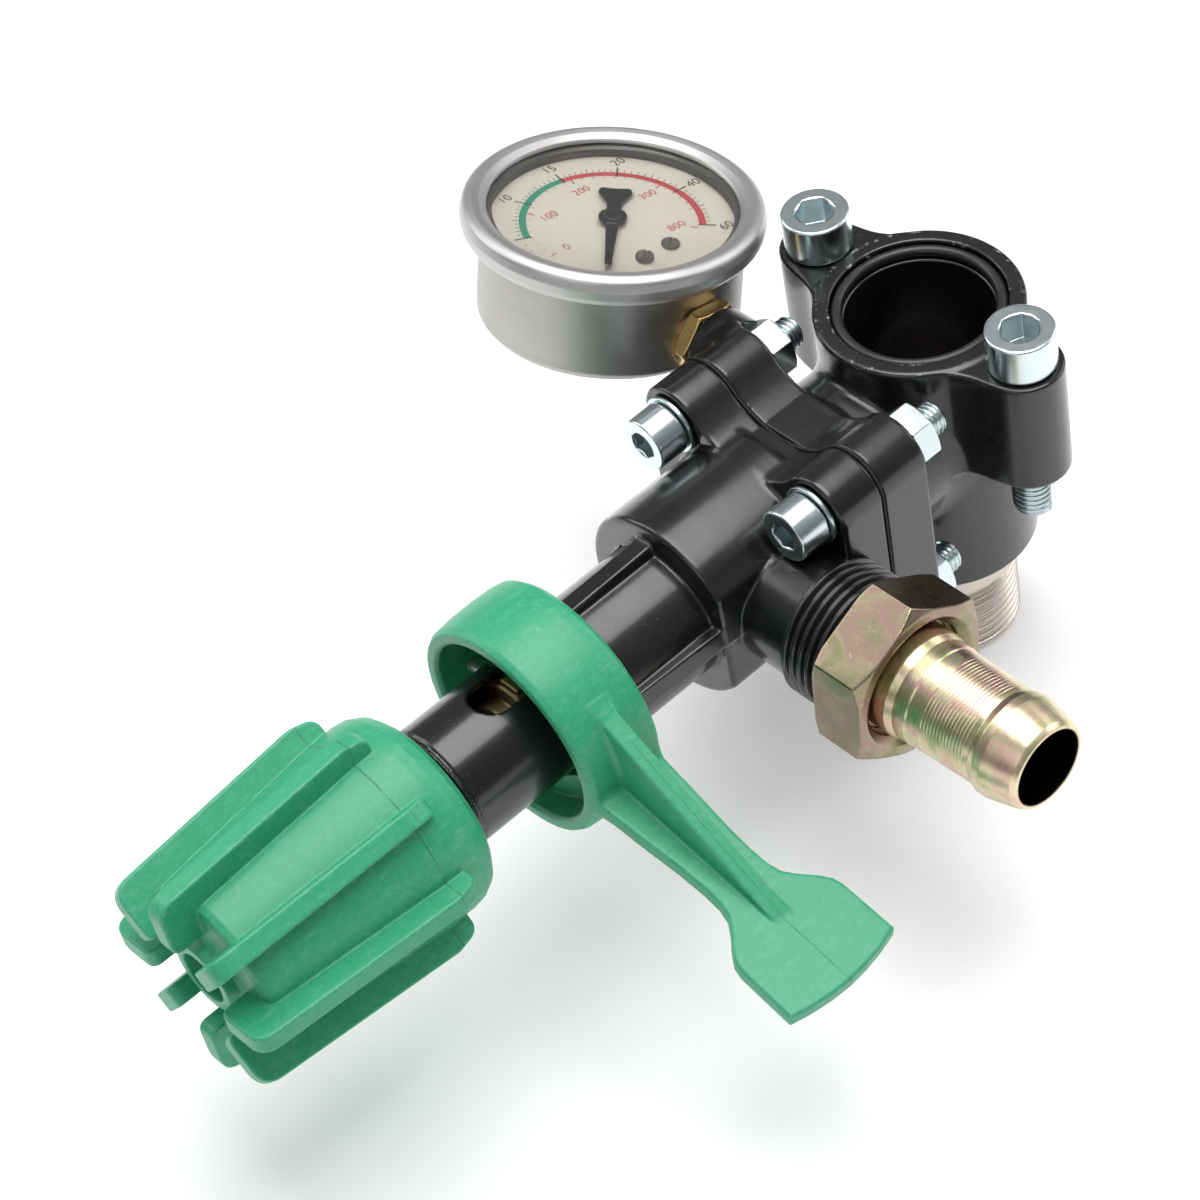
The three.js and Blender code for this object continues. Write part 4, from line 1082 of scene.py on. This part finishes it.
def coil(name, mean, wire, start, end, turns, steps=208, sides=14):
    """A coil spring along Y, from its wire's first outer edge to its last."""
    verts = []
    first, last = start - wire, end + wire
    for i in range(steps + 1):
        turn = 2 * PI * turns * i / steps
        middle = first + (last - first) * i / steps
        for k in range(sides):
            spin = 2 * PI * k / sides
            r = mean + wire * math.cos(spin)
            verts.append((r * math.cos(turn), middle + wire * math.sin(spin), r * math.sin(turn)))
    faces = [tuple(range(sides)), tuple(steps * sides + k for k in reversed(range(sides)))]
    for i in range(steps):
        for k in range(sides):
            a, b = i * sides + k, i * sides + (k + 1) % sides
            faces.append((a, a + sides, b + sides, b))
    return mesh_of(name, verts, faces)


# The spring stands clear of its plate by the poppet's lift. The real spring shortens as the nut closes on it;
# here it keeps one length.
SPRING_TOP = -88.7
spring = add_piece("load_spring", coil("load_spring", 10.2, 1.7, SPRING_TOP, -125.6, 6.5),
                   "housing", STEEL, nodes=["main_spring"])
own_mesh(spring)


# ---- inner solids that keep their shapes ----

for name, looks in {
    "bonnet_gasket": FIBRE, "valve_seat": STEEL, "valve_poppet": STEEL, "poppet_oring": RUBBER,
    "spring_plate": STEEL, "spindle": BRASS,
    "cam_pin_left": STEEL, "cam_pin_right": STEEL, "knob_nut": ZINC, "union_gasket": RUBBER,
    "gauge_movement": BRASS, "bourdon_tube": BRASS, "gauge_plug": RUBBER,
}.items():
    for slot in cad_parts[name].material_slots:
        slot.material = looks

for name in ("case_shell", "case_bezel", "dial_plate", "grooved_tail"):
    crisp(bpy.data.objects[name])


# ---- studio ----

scene = bpy.context.scene
scene.view_settings.view_transform = "Standard"
scene.view_settings.look = "None"

world = bpy.data.worlds.new("studio")
scene.world = world
world.use_nodes = True
sky = world.node_tree.nodes["Background"]
sky.inputs["Strength"].default_value = 0.34
sky_nodes, sky_links = world.node_tree.nodes, world.node_tree.links
height = sky_nodes.new("ShaderNodeSeparateXYZ")
sky_links.new(sky_nodes.new("ShaderNodeTexCoord").outputs["Generated"], height.inputs[0])
glow = sky_nodes.new("ShaderNodeValToRGB")
low, high = glow.color_ramp.elements
low.position, low.color = 0.0, (0.42, 0.43, 0.44, 1)
high.position, high.color = 0.8, (1.0, 1.0, 1.0, 1)
sky_links.new(height.outputs[2], glow.inputs[0])
sky_links.new(glow.outputs[0], sky.inputs["Color"])
backdrop = sky_nodes.new("ShaderNodeBackground")
backdrop.inputs["Color"].default_value = (0.93, 0.93, 0.93, 1)
pick = sky_nodes.new("ShaderNodeMixShader")
sky_links.new(sky_nodes.new("ShaderNodeLightPath").outputs["Is Camera Ray"], pick.inputs[0])
sky_links.new(sky.outputs[0], pick.inputs[1])
sky_links.new(backdrop.outputs[0], pick.inputs[2])
sky_links.new(pick.outputs[0], sky_nodes["World Output"].inputs["Surface"])

floor_mesh = bpy.data.meshes.new("floor")
floor_mesh.from_pydata([(-6, -6, 0), (6, -6, 0), (6, 6, 0), (-6, 6, 0)], [], [(0, 1, 2, 3)])
floor = bpy.data.objects.new("floor", floor_mesh)
scene.collection.objects.link(floor)
pale = Look("pale_floor", Metallic=0.0, Roughness=0.9)
pale.colour(pale.mix(pale.noise(3, 2), (0.90, 0.90, 0.90), (0.92, 0.92, 0.92)))
pale.shader.inputs["Emission Color"].default_value = (1, 1, 1, 1)
# The floor glows more with distance, so that it meets the backdrop without an edge.
reach = pale.node("ShaderNodeVectorMath", operation="LENGTH")
pale.link(pale.where, reach.inputs[0])
pale.link(pale.span(reach.outputs["Value"], 0.45, 1.8, 0.16, 0.62), pale.shader.inputs["Emission Strength"])
floor_mesh.materials.append(pale.material)
floor.location = (0, 0, -0.0005)  # just clear of the part's lowest face


def softbox(name, towards, distance, size, power):
    lamp = bpy.data.lights.new(name, "AREA")
    lamp.shape = "RECTANGLE"
    lamp.size, lamp.size_y = size
    lamp.energy = power
    made = bpy.data.objects.new(name, lamp)
    target = Vector((0, 0.02, 0.06))
    direction = Vector(towards).normalized()
    made.location = target + direction * distance
    made.rotation_euler = (-direction).to_track_quat("-Z", "Y").to_euler()
    scene.collection.objects.link(made)


softbox("overhead", (0.0, 0.12, 1), 1.1, (1.0, 0.8), 13)
softbox("left", (-1, -0.35, 0.75), 1.2, (0.6, 0.9), 4)
softbox("back", (0.35, 1, 0.6), 1.3, (0.9, 0.6), 4)
softbox("front", (0.35, -1, 0.8), 1.4, (0.8, 0.8), 1.8)

# The camera was fitted to the known sizes of the standard parts in the photograph.
CAMERA_AT = Vector((441.30, -399.33, 577.4))
lens = bpy.data.cameras.new("camera")
lens.lens = 106.79
lens.sensor_width = 36
lens.clip_start, lens.clip_end = 0.05, 50
camera = bpy.data.objects.new("camera", lens)
scene.collection.objects.link(camera)
right = Vector((0.67471, 0.72318, -0.14755))
down = Vector((0.46782, -0.57366, -0.67235))
turn = Matrix((right, -down, right.cross(-down))).transposed().to_4x4()
camera.matrix_world = Matrix.Translation((CAMERA_AT + SHIFT) * MM) @ turn
scene.camera = camera
